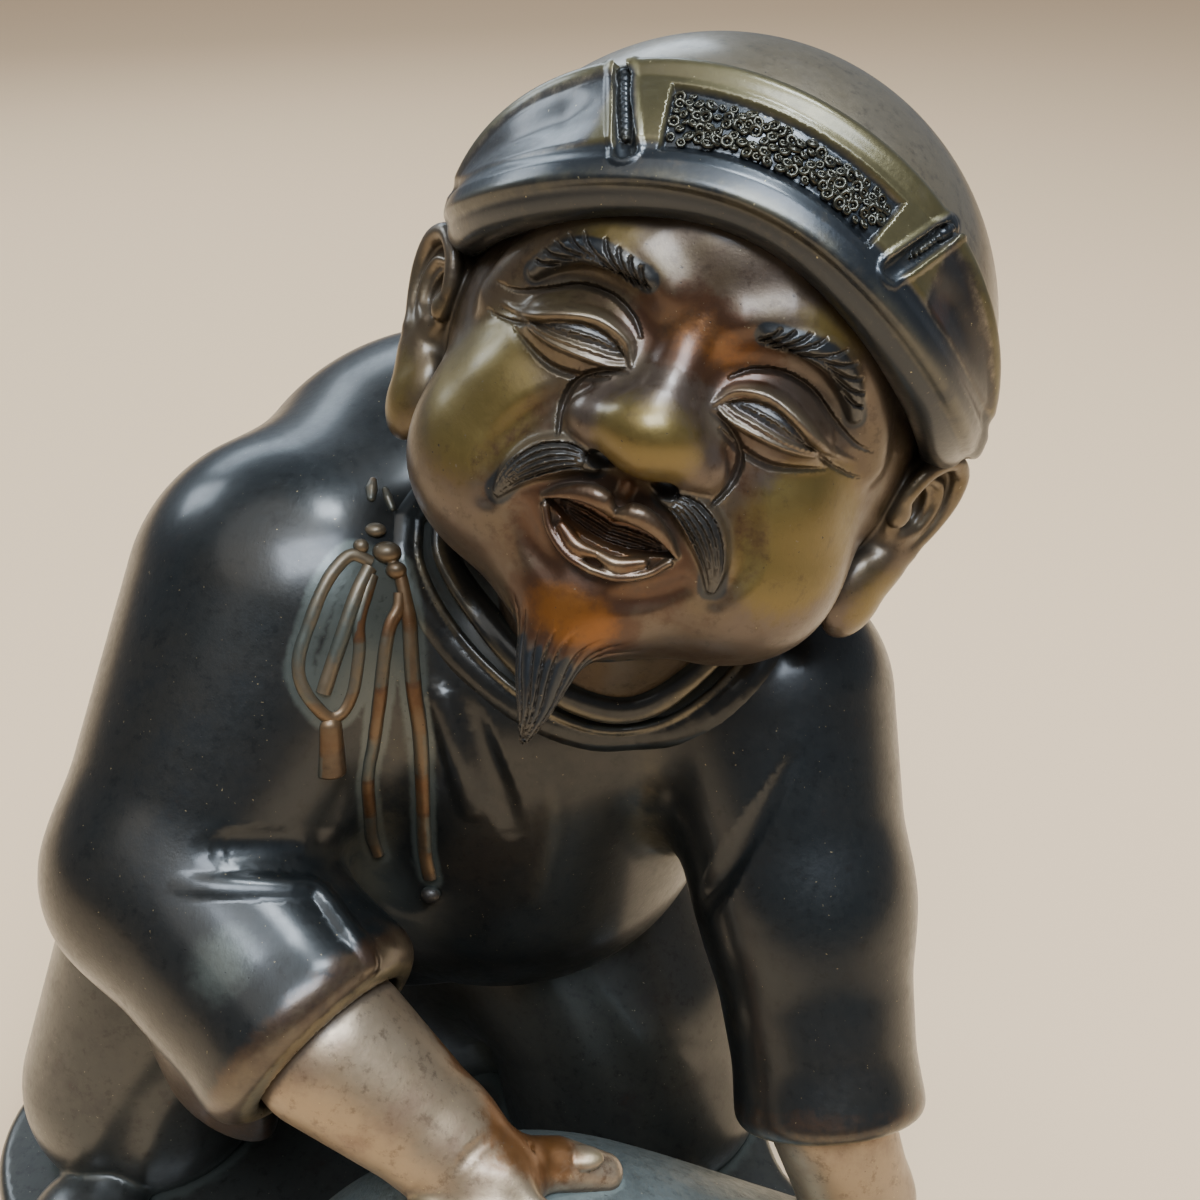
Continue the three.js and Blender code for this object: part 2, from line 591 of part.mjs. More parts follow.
function casting() {
  const neck = limb(stop(NECK_FOOT, 22), stop(NECK_TOP, 25));
  const whole = joined(1.2,
    joined(2.5, robe(), legs()),
    joined(1, joined(3, within(HEAD, 70, placed(HEAD, HEAD_TURN, head())), neck), collar()),
    arms(), sack(), ground());
  const mesh = outerSkin(skin(whole, SPANS, FINE_SPANS));
  const care = (x, y, z) =>
    1 + FACE_CARE * THREE.MathUtils.smoothstep(z, 138, 152) * (1 - THREE.MathUtils.smoothstep(y, -45, -20));
  return thinned(mesh, TRIANGLES, care);
}

function modelled({ points, faces }) {
  const geometry = new THREE.BufferGeometry();
  geometry.setAttribute("position", new THREE.Float32BufferAttribute(points, 3));
  geometry.setIndex(faces);
  geometry.translate(-CENTRE[0], -CENTRE[1], -UNDERSIDE);
  geometry.scale(SHARE, SHARE, SHARE);
  geometry.computeVertexNormals();
  return geometry;
}

const bronze = new THREE.MeshStandardMaterial({ color: "#3b3630", roughness: 0.42, metalness: 0.85 });
const daikoku = new THREE.Group();
const figure = new THREE.Mesh(modelled(casting()), bronze);
figure.name = "figure";
daikoku.add(figure);

export default daikoku;
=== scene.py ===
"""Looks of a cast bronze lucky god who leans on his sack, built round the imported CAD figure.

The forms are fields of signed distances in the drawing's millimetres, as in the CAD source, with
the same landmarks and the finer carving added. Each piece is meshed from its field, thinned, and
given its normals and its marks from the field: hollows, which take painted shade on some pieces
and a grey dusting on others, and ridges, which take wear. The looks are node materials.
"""
import math
from concurrent.futures import ThreadPoolExecutor

import bpy
import numpy as np
from mathutils import Matrix, Vector


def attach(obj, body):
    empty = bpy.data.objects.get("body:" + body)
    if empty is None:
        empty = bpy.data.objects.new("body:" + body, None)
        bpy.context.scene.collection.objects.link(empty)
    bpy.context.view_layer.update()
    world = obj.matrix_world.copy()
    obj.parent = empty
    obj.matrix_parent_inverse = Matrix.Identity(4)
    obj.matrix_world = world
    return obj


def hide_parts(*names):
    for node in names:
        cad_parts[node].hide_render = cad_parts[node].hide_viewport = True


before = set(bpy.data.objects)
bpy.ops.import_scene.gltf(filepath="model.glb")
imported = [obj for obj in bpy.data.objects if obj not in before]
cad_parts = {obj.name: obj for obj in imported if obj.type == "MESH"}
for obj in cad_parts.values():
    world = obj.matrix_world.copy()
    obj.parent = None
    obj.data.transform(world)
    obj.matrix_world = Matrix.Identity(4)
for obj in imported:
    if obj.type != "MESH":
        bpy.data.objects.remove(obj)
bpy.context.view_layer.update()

# The drawing's place over the model's origin, and its unit
CENTRE = (-36.0, -38.0, 0.0)
MM = 0.001
SOLE = 9.0

# Language of shapes: a shape takes arrays x, y, z and gives distances


def length(x, y, z=0.0):
    return np.sqrt(x * x + y * y + z * z)


def near(k, a, b):
    """How much a fillet adds where two distances are alike"""
    return np.maximum(k - np.abs(a - b), 0) ** 2 / (4 * k)


def joined(k, *shapes):
    """Shapes run together, with fillets as wide as k"""
    def shape(x, y, z):
        d = shapes[0](x, y, z)
        for other in shapes[1:]:
            e = other(x, y, z)
            d = np.minimum(d, e) - near(k, d, e)
        return d
    return shape


def kept(k, body, *limits):
    """What of a body lies inside every limit, with edges rounded by k"""
    def shape(x, y, z):
        d = body(x, y, z)
        for limit in limits:
            e = limit(x, y, z)
            d = np.maximum(d, e) + near(k, d, e)
        return d
    return shape


def carved(k, body, *tools):
    return kept(k, body, *[turned_out(tool) for tool in tools])


def turned_out(shape):
    return lambda x, y, z: -shape(x, y, z)


def egg(centre, radii):
    (cx, cy, cz), (rx, ry, rz) = centre, radii

    def shape(x, y, z):
        u, v, w = (x - cx) / rx, (y - cy) / ry, (z - cz) / rz
        k0 = length(u, v, w)
        k1 = length(u / rx, v / ry, w / rz)
        return k0 * (k0 - 1) / np.maximum(k1, 1e-6)
    return shape


def limb(*stops):
    """Runs from point to point with a radius at each, its cones meeting the balls without a crease"""
    rows = np.array(stops, float)

    def shape(x, y, z):
        best = np.full(x.shape, 1e3, x.dtype)
        for a, b in zip(rows[:-1], rows[1:]):
            way = b[:3] - a[:3]
            span = math.sqrt(way @ way)
            taper = np.clip((a[3] - b[3]) / span, -0.9, 0.9)
            px, py, pz = x - a[0], y - a[1], z - a[2]
            along = (px * way[0] + py * way[1] + pz * way[2]) / span
            aside = np.sqrt(np.maximum(px * px + py * py + pz * pz - along * along, 0))
            t = np.clip((along - aside * taper / math.sqrt(1 - taper * taper)) / span, 0, 1)
            gap = length(px - t * way[0], py - t * way[1], pz - t * way[2])
            np.minimum(best, gap - a[3] - t * (b[3] - a[3]), out=best)
        return best
    return shape


def behind(point, normal):
    """All that lies behind a plane"""
    n = Vector(normal).normalized()
    level = n.dot(Vector(point))
    return lambda x, y, z: n[0] * x + n[1] * y + n[2] * z - level


def ring(centre, radii, tube):
    """A round tube bent into an oval that lies flat"""
    (cx, cy, cz), (rx, ry) = centre, radii

    def shape(x, y, z):
        flat = length((x - cx) / rx, (y - cy) / ry)
        slope = length((x - cx) / rx ** 2, (y - cy) / ry ** 2) / np.maximum(flat, 1e-6)
        return length((flat - 1) / np.maximum(slope, 1e-6), z - cz) - tube
    return shape


def within(centre, radius, shape, margin=5.0):
    """A shape that is only worked out near a ball; far from it the ball's own distance will do"""
    def limited(x, y, z):
        d = length(x - centre[0], y - centre[1], z - centre[2]) - radius
        close = d < margin
        if close.any():
            d[close] = shape(x[close], y[close], z[close])
        return d
    return limited


def around(points, shape, margin=7.0):
    """A shape that is only worked out near the ball round some points with radii"""
    rows = np.array(points, float)
    centre = rows[:, :3].mean(0)
    radius = (np.linalg.norm(rows[:, :3] - centre, axis=1) + rows[:, 3]).max()
    return within(centre, radius, shape, margin)


def eased(rows, per_stretch=4):
    """Rows on a smooth curve through the given ones"""
    rows = np.array(rows, float)
    if len(rows) < 3:
        return rows
    ends = np.vstack([2 * rows[0] - rows[1], rows, 2 * rows[-1] - rows[-2]])
    made = []
    for a, b, c, d in zip(ends[:-3], ends[1:-2], ends[2:-1], ends[3:]):
        for t in np.arange(per_stretch) / per_stretch:
            made.append(b + 0.5 * t * (c - a + t * (2 * a - 5 * b + 4 * c - d
                                                    + t * (3 * (b - c) + d - a))))
    return np.vstack([made, rows[-1]])


def ramp(low, high, value):
    """Rises smoothly from 0 at low to 1 at high"""
    t = np.clip((value - low) / (high - low), 0, 1)
    return t * t * (3 - 2 * t)


def bell(value):
    """1 at 0, falling smoothly to 0 at 1 and beyond"""
    return np.maximum(1 - value * value, 0) ** 2


def pressed(rows):
    """How deep a soft fold goes along a path; rows of x, y, z, half width and depth"""
    rows = eased(rows, 3)
    sign = 1 if rows[:, 4].sum() >= 0 else -1
    centre = rows[:, :3].mean(0)
    reach = np.linalg.norm(rows[:, :3] - centre, axis=1).max() + rows[:, 3].max()

    def depth(x, y, z):
        most = np.zeros(x.shape, x.dtype)
        close = length(x - centre[0], y - centre[1], z - centre[2]) < reach
        if not close.any():
            return most
        u, v, w = x[close], y[close], z[close]
        deepest = np.zeros(u.shape, u.dtype)
        for a, b in zip(rows[:-1], rows[1:]):
            way = b[:3] - a[:3]
            px, py, pz = u - a[0], v - a[1], w - a[2]
            t = np.clip((px * way[0] + py * way[1] + pz * way[2]) / (way @ way), 0, 1)
            gap = length(px - t * way[0], py - t * way[1], pz - t * way[2])
            height = np.abs(a[4] + t * (b[4] - a[4]))
            np.maximum(deepest, bell(gap / (a[3] + t * (b[3] - a[3]))) * height, out=deepest)
        most[close] = sign * deepest
        return most
    return depth


FOLD_REACH = 8  # how far from the skin folds are worked out


def folded(shape, *lines):
    """A shape with soft folds pressed into it"""
    depths = [pressed(rows) for rows in lines]

    def shape_folded(x, y, z):
        d = shape(x, y, z)
        close = np.abs(d) < FOLD_REACH
        if close.any():
            u, v, w = x[close], y[close], z[close]
            d[close] += sum(depth(u, v, w) for depth in depths)
        return d
    return shape_folded


def both(shape):
    """A shape and its mirror image across the middle"""
    return lambda x, y, z: shape(np.abs(x), y, z)


def turned_by(turns):
    pitch, lean, turn = (math.radians(t) for t in turns)
    return (Matrix.Rotation(lean, 3, "Y") @ Matrix.Rotation(pitch, 3, "X")
            @ Matrix.Rotation(turn, 3, "Z"))


def placed(point, turns, shape):
    """A shape drawn in a frame of its own, set at a point with pitch, lean and turn in degrees"""
    m = (Matrix.Translation(point) @ turned_by(turns).to_4x4()).inverted()

    def shape_there(x, y, z):
        return shape(*(m[r][0] * x + m[r][1] * y + m[r][2] * z + m[r][3] for r in range(3)))
    return shape_there


def stop(point, radius):
    return (*point, radius)


def between(a, b, t):
    return tuple(v + t * (w - v) for v, w in zip(a, b))


# Meshing of a field

BLOCK = 4  # grid steps a side that are skipped together when they lie far from the skin
SKIP_MARGIN = 1.3
CHUNK = 40000
FAR = 1e3
THREADS = 4


def evaluated(shape, points):
    """Distances at points, worked out side by side in chunks"""
    points = np.ascontiguousarray(points, np.float32)
    starts = range(0, len(points), CHUNK)

    def part(start):
        x, y, z = (np.ascontiguousarray(c) for c in points[start:start + CHUNK].T)
        return shape(x, y, z)
    if not len(points):
        return np.zeros(0, np.float32)
    with ThreadPoolExecutor(THREADS) as pool:
        return np.concatenate(list(pool.map(part, starts))).astype(np.float32)


def sampled(shape, low, high, cell):
    """Distances on a grid, worked out only in the blocks that the skin may cross"""
    low = np.array(low, float)
    steps = np.ceil((np.array(high, float) - low) / (cell * BLOCK)).astype(int)
    lines = [low[k] + (np.arange(steps[k]) + 0.5) * cell * BLOCK for k in range(3)]
    middles = np.stack(np.meshgrid(*lines, indexing="ij"), -1).reshape(-1, 3)
    d = evaluated(shape, middles).reshape(steps)
    crossed = np.abs(d) < SKIP_MARGIN * cell * BLOCK * math.sqrt(3) / 2
    field = np.where(d < 0, -FAR, FAR).astype(np.float32)
    for axis in range(3):
        field = np.repeat(field, BLOCK, axis)
    field = np.pad(field, [(0, 1)] * 3, mode="edge")
    need = np.zeros(field.shape, bool)
    for corner in np.ndindex(*(BLOCK + 1,) * 3):
        spans = tuple(slice(c, c + BLOCK * n, BLOCK) for c, n in zip(corner, steps))
        need[spans] |= crossed
    wanted = np.argwhere(need)
    field[need] = evaluated(shape, low + wanted * cell)
    return field


def netted(field, low, cell):
    """One point for each grid cube that the skin crosses, and one quad for each crossed grid line"""
    inside = field < 0
    sizes = np.array(field.shape)
    strides = np.array([sizes[1] * sizes[2], sizes[2], 1])
    cubes, places, quads = [], [], []
    for axis in range(3):
        u, v = (axis + 1) % 3, (axis + 2) % 3
        first = tuple(slice(None, -1) if k == axis else slice(None) for k in range(3))
        second = tuple(slice(1, None) if k == axis else slice(None) for k in range(3))
        starts = np.argwhere(inside[first] != inside[second])
        ids = starts @ strides
        a = field.ravel()[ids]
        b = field.ravel()[ids + strides[axis]]
        place = starts.astype(float)
        place[:, axis] += a / (a - b)
        corners = [ids, ids - strides[u], ids - strides[u] - strides[v], ids - strides[v]]
        quad = np.stack(corners, 1)
        quads.append(np.where((a < 0)[:, None], quad, quad[:, ::-1]))
        cubes += corners
        places += [place] * 4
    used, index = np.unique(np.concatenate(cubes), return_inverse=True)
    places = np.concatenate(places)
    count = np.bincount(index)
    points = np.stack([np.bincount(index, places[:, k]) / count for k in range(3)], 1)
    quads = np.searchsorted(used, np.concatenate(quads))
    return np.array(low) + points * cell, quads


def slopes(shape, points, reach=0.05):
    """Distances and gradients of a field at points"""
    gradient = np.zeros((len(points), 3))
    total = np.zeros(len(points))
    for corner in ((1, 1, 1), (1, -1, -1), (-1, 1, -1), (-1, -1, 1)):
        d = evaluated(shape, points + np.array(corner) * reach)
        gradient += d[:, None] * np.array(corner)
        total += d
    return total / 4, gradient / (4 * reach)


def settled(shape, points, most):
    """Points moved onto the skin, each by no more than a given length"""
    d, gradient = slopes(shape, points)
    square = np.maximum((gradient ** 2).sum(1), 0.25)
    step = (d / square)[:, None] * gradient
    size = np.linalg.norm(step, axis=1, keepdims=True)
    return points - step * np.minimum(1, most / np.maximum(size, 1e-9))


def mesh_from(name, points, faces):
    """A mesh of faces that all have as many sides"""
    mesh = bpy.data.meshes.new(name)
    sides = faces.shape[1]
    mesh.vertices.add(len(points))
    mesh.vertices.foreach_set("co", points.astype(np.float32).ravel())
    mesh.loops.add(faces.size)
    mesh.loops.foreach_set("vertex_index", faces.astype(np.int32).ravel())
    mesh.polygons.add(len(faces))
    mesh.polygons.foreach_set("loop_start", np.arange(0, faces.size, sides, dtype=np.int32))
    mesh.update(calc_edges=True)
    return mesh


def places_of(mesh):
    co = np.empty(3 * len(mesh.vertices), np.float32)
    mesh.vertices.foreach_get("co", co)
    return co.reshape(-1, 3).astype(float)


def linked(name, mesh):
    piece = bpy.data.objects.new(name, mesh)
    bpy.context.scene.collection.objects.link(piece)
    return piece


def plain_mesh(piece):
    """The piece's mesh with its modifiers carried out"""
    graph = bpy.context.evaluated_depsgraph_get()
    mesh = bpy.data.meshes.new_from_object(piece.evaluated_get(graph))
    piece.modifiers.clear()
    return mesh


def thinned(name, points, quads, triangles):
    """A piece brought down to about so many triangles"""
    piece = linked(name, mesh_from(name, points, quads))
    if 2 * len(quads) > triangles:
        modifier = piece.modifiers.new("thin", "DECIMATE")
        modifier.ratio = triangles / (2 * len(quads))
        piece.data = plain_mesh(piece)
    return piece


def finished(piece, points, normals, marks, material):
    """Marks, metal, body and slot of a piece whose skin lies at points in drawing millimetres"""
    for mark, values in marks(points, normals).items():
        attribute = piece.data.attributes.new(mark, "FLOAT", "POINT")
        attribute.data.foreach_set("value", values.astype(np.float32))
    piece.data.polygons.foreach_set("use_smooth", np.ones(len(piece.data.polygons), bool))
    piece.data.materials.clear()
    piece.data.materials.append(material)
    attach(piece, "root")
    return piece


def in_model(points):
    """Places of the drawing in the model's metres"""
    return (np.asarray(points, float) - np.array(CENTRE)) * MM


def cast(name, shape, low, high, cell, triangles, marks, material):
    """A piece of the casting from its field, with normals taken from the field"""
    points, quads = netted(sampled(shape, low, high, cell), low, cell)
    points = settled(shape, points, 0.5 * cell)
    piece = thinned(name, points, quads, triangles)
    points = settled(shape, places_of(piece.data), 0.3 * cell)
    gradient = slopes(shape, points)[1]
    normals = gradient / np.maximum(np.linalg.norm(gradient, axis=1, keepdims=True), 1e-6)
    piece.data.vertices.foreach_set("co", in_model(points).astype(np.float32).ravel())
    piece.data.update()
    finished(piece, points, normals, marks, material)
    piece.data.normals_split_custom_set_from_vertices(normals.astype(np.float32))
    return piece


def grown(name, points, faces, tree, settings, marks, material):
    """A piece that a node tree grows from a path or a patch, kept as a plain mesh"""
    if faces is None:
        mesh = bpy.data.meshes.new(name)
        mesh.from_pydata(in_model(points).tolist(), [(i, i + 1) for i in range(len(points) - 1)], [])
    else:
        mesh = mesh_from(name, in_model(points), faces)
    piece = linked(name, mesh)
    modifier = piece.modifiers.new("grown", "NODES")
    modifier.node_group = tree
    for item in tree.interface.items_tree:
        if item.in_out == "INPUT" and item.name in settings:
            modifier[item.identifier] = settings[item.name]
    piece.data = plain_mesh(piece)
    skin = places_of(piece.data) / MM + np.array(CENTRE)
    normals = np.empty(3 * len(piece.data.vertices), np.float32)
    piece.data.vertices.foreach_get("normal", normals)
    return finished(piece, skin, normals.reshape(-1, 3).astype(float), marks, material)


# Landmarks of the pose, as in the CAD source

HEAD = (10.3, -44.2, 197.8)
HEAD_TURN = (-10.8, 23.5, -13.6)
NECK_FOOT, NECK_TOP = (-2, -34, 148), (8, -38, 182)
HUMP, HIPS = (-29, 8, 149), (-48, 22, 84)
SHOULDER_RIGHT, ELBOW_RIGHT = (-56, -22, 152), (-78, -57, 116)
HEM_RIGHT, WRIST_RIGHT = (-47, -82, 97), (-28, -90, 83)
SHOULDER_LEFT, ELBOW_LEFT = (30, -36, 140), (38, -58, 110)
HEM_LEFT, WRIST_LEFT = (42.5, -80, 76), (48, -84, 60)
FOOT_RIGHT, FOOT_LEFT = (-108, -34, SOLE), (12, -34, SOLE)
SACK, TIE = (-14, -96, 32), (72, -113, 29)
SACK_NECK, SACK_MOUTH = (54, -105, 27), (90, -121, 37)

# Head, in its own frame: x to the figure's left, y to the back of the head, z to the crown

HEAD_FORM = joined(
    8,
    egg((0, 2, -2), (34.5, 35.5, 35)),
    egg((0, 1, 13), (35, 33.5, 34)),
    egg((0, 5, 7), (39.5, 26, 24)),
    both(egg((17, -15, -11), (18.6, 17, 17.5))),
    egg((0, -21, -24.5), (12, 13, 10)))
FOREHEAD = egg((0, -6, 28), (29, 27, 21))
SKULL = joined(4, HEAD_FORM, FOREHEAD)


def on_face(x, z, lift=0.0):
    """The place on the face over x and z, stood proud by a lift; all three may be arrays"""
    x, z = np.atleast_1d(x).astype(float), np.atleast_1d(z).astype(float)
    front, back = np.full(x.shape, -60.0), np.zeros(x.shape)
    for _ in range(24):
        y = (front + back) / 2
        outside = SKULL(x, y, z) > 0
        front, back = np.where(outside, y, front), np.where(outside, back, y)
    return np.column_stack([x, front - lift, z])


def over_face(*rows):
    """A smooth ridge or groove over the face, from rows of x, z, radius and lift"""
    x, z, radius, lift = eased(rows).T
    stops = np.column_stack([on_face(x, z, lift), radius])
    return around(stops, limb(*stops))


def nearness(curves, x, z):
    """How near each place comes to drawn lines, times their height; 0 outside their half width"""
    most = np.zeros(x.shape, x.dtype)
    for rows in curves:
        for a, b in zip(rows[:-1], rows[1:]):
            way = b[:2] - a[:2]
            px, pz = x - a[0], z - a[1]
            t = np.clip((px * way[0] + pz * way[1]) / (way @ way + 1e-9), 0, 1)
            gap = length(px - t * way[0], pz - t * way[1]) / (a[2] + t * (b[2] - a[2]))
            np.maximum(most, bell(gap) * (a[3] + t * (b[3] - a[3])), out=most)
    return most


def lens(upper, lower, x, z):
    """How far a place lies inside the almond between two curves of x, z"""
    upper, lower = eased(upper, 6), eased(lower, 6)
    inside = np.minimum(np.interp(x, *upper.T) - z, z - np.interp(x, *lower.T))
    inside = np.minimum(inside, upper[-1, 0] - x)
    return inside if upper[0, 0] <= 0 else np.minimum(inside, x - upper[0, 0])


FRONT_OF_FACE = -6  # y in front of which lines are drawn
LINE_REACH = 5


def engraved(shape, cuts, ridges, openings):
    """Lines sunk and raised on the front of a form, and almond openings sunk to a depth;
    each line is rows of x, z, half width and height"""
    cuts, ridges = [eased(rows, 3) for rows in cuts], [eased(rows, 3) for rows in ridges]
    low = np.vstack(cuts + ridges)[:, :2].min(0) - 2
    high = np.vstack(cuts + ridges)[:, :2].max(0) + 2

    def shape_engraved(x, y, z):
        d = shape(x, y, z)
        side = np.abs(x)
        here = ((side > low[0]) & (side < high[0]) & (z > low[1]) & (z < high[1])
                & (y < FRONT_OF_FACE) & (np.abs(d) < LINE_REACH))
        if here.any():
            u, w = side[here], z[here]
            depth = nearness(cuts, u, w) - nearness(ridges, u, w)
            for upper, lower, sunk in openings:
                depth += sunk * ramp(-0.3, 0.4, lens(upper, lower, u, w))
            d[here] += depth.astype(d.dtype)
        return d
    return shape_engraved


def lengthwise(rows, count, width, depth, spread=0.8):
    """Hair lines side by side along a ridge"""
    rows = eased(rows, 2)
    way = np.gradient(rows[:, :2], axis=0)
    side = np.stack([-way[:, 1], way[:, 0]], 1)
    side /= np.linalg.norm(side, axis=1, keepdims=True)
    lines = []
    for i in range(count):
        share = (2 * i + 1) / count - 1
        places = rows[:, :2] + side * (spread * share * rows[:, 2])[:, None]
        fade = np.sin(np.pi * np.linspace(0.12, 0.95, len(rows)))
        lines.append(np.column_stack([places, np.full(len(rows), width), depth * fade])[1:])
    return lines


def slanted(rows, count, width, depth):
    """Hair lines that cross a ridge aslant, each bowed along it"""
    rows = eased(rows, 4)
    way = np.gradient(rows[:, :2], axis=0)
    way /= np.linalg.norm(way, axis=1, keepdims=True)
    side = np.stack([-way[:, 1], way[:, 0]], 1)
    lines = []
    for i in range(count):
        at = int((i + 0.8) / (count + 0.6) * (len(rows) - 1))
        reach = rows[at, 2]
        line = [rows[at, :2] + side[at] * reach * s + way[at] * (1.3 * s - 0.5 * s * s) * reach
                for s in (-0.95, -0.35, 0.3, 0.95)]
        lines.append([(*place, width, depth * fade) for place, fade in zip(line, (0.5, 1, 1, 0.4))])
    return lines


BROW_BONE = [(6, 22.5, 2.5, -1.4), (13, 25.2, 3.6, -1.9), (21, 23.6, 3.8, -2.2),
             (27, 17.5, 3, -1.8), (30, 11, 2, -1.6)]
BROW = [(9, 23.1, 0.7, 1.3), (12.3, 23.6, 1.5, 1.6), (16, 23.8, 2, 1.9),
        (19.6, 23, 2.1, 1.8), (22.8, 20.4, 1.6, 1.4), (25.3, 16.8, 0.7, 0.8)]
MOUSTACHE = [(5.6, -3, 1, 1.3), (8.6, -3, 2.2, 0.9), (12.2, -4.9, 2.9, 0.5),
             (15.4, -8.8, 2, 0.4), (17, -12.8, 0.6, 0.2)]
SMILE = [(11.4, 6.6, 0.6, 0.9), (15, 2.4, 1.2, 0.9), (18.2, -3, 1.5, 0.7),
         (20, -8.4, 1.4, 0.6), (18.4, -14.6, 0.8, 0.5)]
BEARD = ((-1, -26, -24, 6.6), (-0.8, -29, -30, 5.8), (-0.2, -31.6, -36, 4.2), (0.8, -33.6, -41.5, 2.3),
         (1.2, -34.4, -45.5, 0.8))
BEARD_STRANDS = 15


def nose():
    """Bridge, wings and tip"""
    bridge = limb((0, -30, 18, 2.6), (0, -33, 12, 3.4), (0, -35, 7.6, 5.2), (0, -36.2, 4.4, 5.9))
    wings = both(egg((6.6, -33, 3), (5.4, 5, 4.7)))
    return joined(3, joined(4, bridge, wings), egg((0, -37, 4.8), (6.4, 5, 4.8)))


EYE_TOP = [(7.8, 12.3), (9.4, 13.5), (12, 14.3), (15, 14.2), (18.4, 13), (20.8, 11.7), (22.4, 11)]
EYE_FOOT = [(7.8, 12.3), (9.6, 11.8), (12.4, 11.6), (15.4, 11.2), (19, 10.9), (22.4, 11)]
MOUTH_TOP = [(0, -9.8), (1.2, -9.2), (3, -8.6), (5.5, -8.7), (8, -9.6), (10, -10.7)]
MOUTH_FOOT = [(0, -13.7), (3, -13.4), (6, -12.5), (8.4, -11.5), (10, -10.7)]


def lips():
    """Upper lip, the lower lip's thin rim and the pad on it"""
    upper = over_face((0, -8.2, 0.9, 1.2), (2.3, -6.9, 1.6, 2.1), (4.8, -7.1, 1.6, 1.8),
                      (7.8, -8.6, 1.1, 1), (10.2, -10.5, 0.5, 0.2))
    rim_line = over_face((0, -17.1, 0.65, 2.2), (4, -16.6, 0.65, 1.9), (7.6, -14.6, 0.6, 1.3),
                         (9.8, -11.8, 0.5, 0.5))
    pad = over_face((0.2, -14.9, 0.8, 1.5), (3.2, -15, 1.2, 1.5), (6.4, -13.4, 0.8, 0.8))
    return joined(0.4, upper, joined(0.8, rim_line, pad))


def beard():
    """The goatee and the depth of its strands"""
    rows = np.array(BEARD)

    def strands(x, y, z):
        ax, ay = np.interp(z, rows[::-1, 2], rows[::-1, 0]), np.interp(z, rows[::-1, 2], rows[::-1, 1])
        angle = np.arctan2(x - ax, ay - y)
        phase = BEARD_STRANDS * angle / 2 + 0.8 * np.sin(0.35 * z) + 0.5 * np.sin(5 * angle)
        return (0.75 * (1 - np.abs(np.sin(phase))) ** 2 * ramp(-26, -33, z)).astype(z.dtype)
    return limb(*eased(BEARD, 3)), strands


EAR, EAR_TURN = (42.6, -2.4, 4.6), (0, 0, 47)


def ear():
    """A cupped shell that faces forwards, with a rolled rim, an inner fold and a long lobe"""
    shell = kept(1.5, egg((0.8, 1.2, 2.2), (6.6, 4.2, 8.4)), behind((0, 0.2, 0), (0, -1, 0)))
    helix = eased([(-4.4, 0, -1.5, 1), (-4.9, -0.5, 3, 1.3), (-3, -0.8, 7.6, 1.5), (1.2, -0.8, 9.9, 1.6),
                   (5.2, -0.5, 8, 1.6), (6.6, -0.1, 3.6, 1.5), (5.8, 0.3, -1.4, 1.4), (3, 0.7, -6, 1.8)])
    fold = eased([(-0.6, 0, 6, 0.6), (2.4, 0, 5.2, 0.8), (3.7, 0, 1.8, 0.8), (2.6, 0.2, -2.2, 0.9),
                  (-0.4, 0.3, -4, 0.9)])
    tragus = egg((-4, -0.2, -0.6), (1.7, 1.5, 2.4))
    lobe = joined(2, egg((1, 1.6, -9), (4, 3, 6)), egg((-2.2, 2.2, -16), (5.6, 3.9, 8)))
    hole = egg((-1, 1, 0.6), (2.7, 2.8, 3.6))
    cup = joined(0.9, carved(0.8, joined(0.8, shell, limb(*helix)), hole), limb(*fold), tragus)
    root = egg((38, 4, 1), (5, 7.5, 9))
    placed_ear = placed(EAR, EAR_TURN, joined(2, cup, lobe))
    return both(within((41, 0, -2), 26, joined(2, root, placed_ear)))


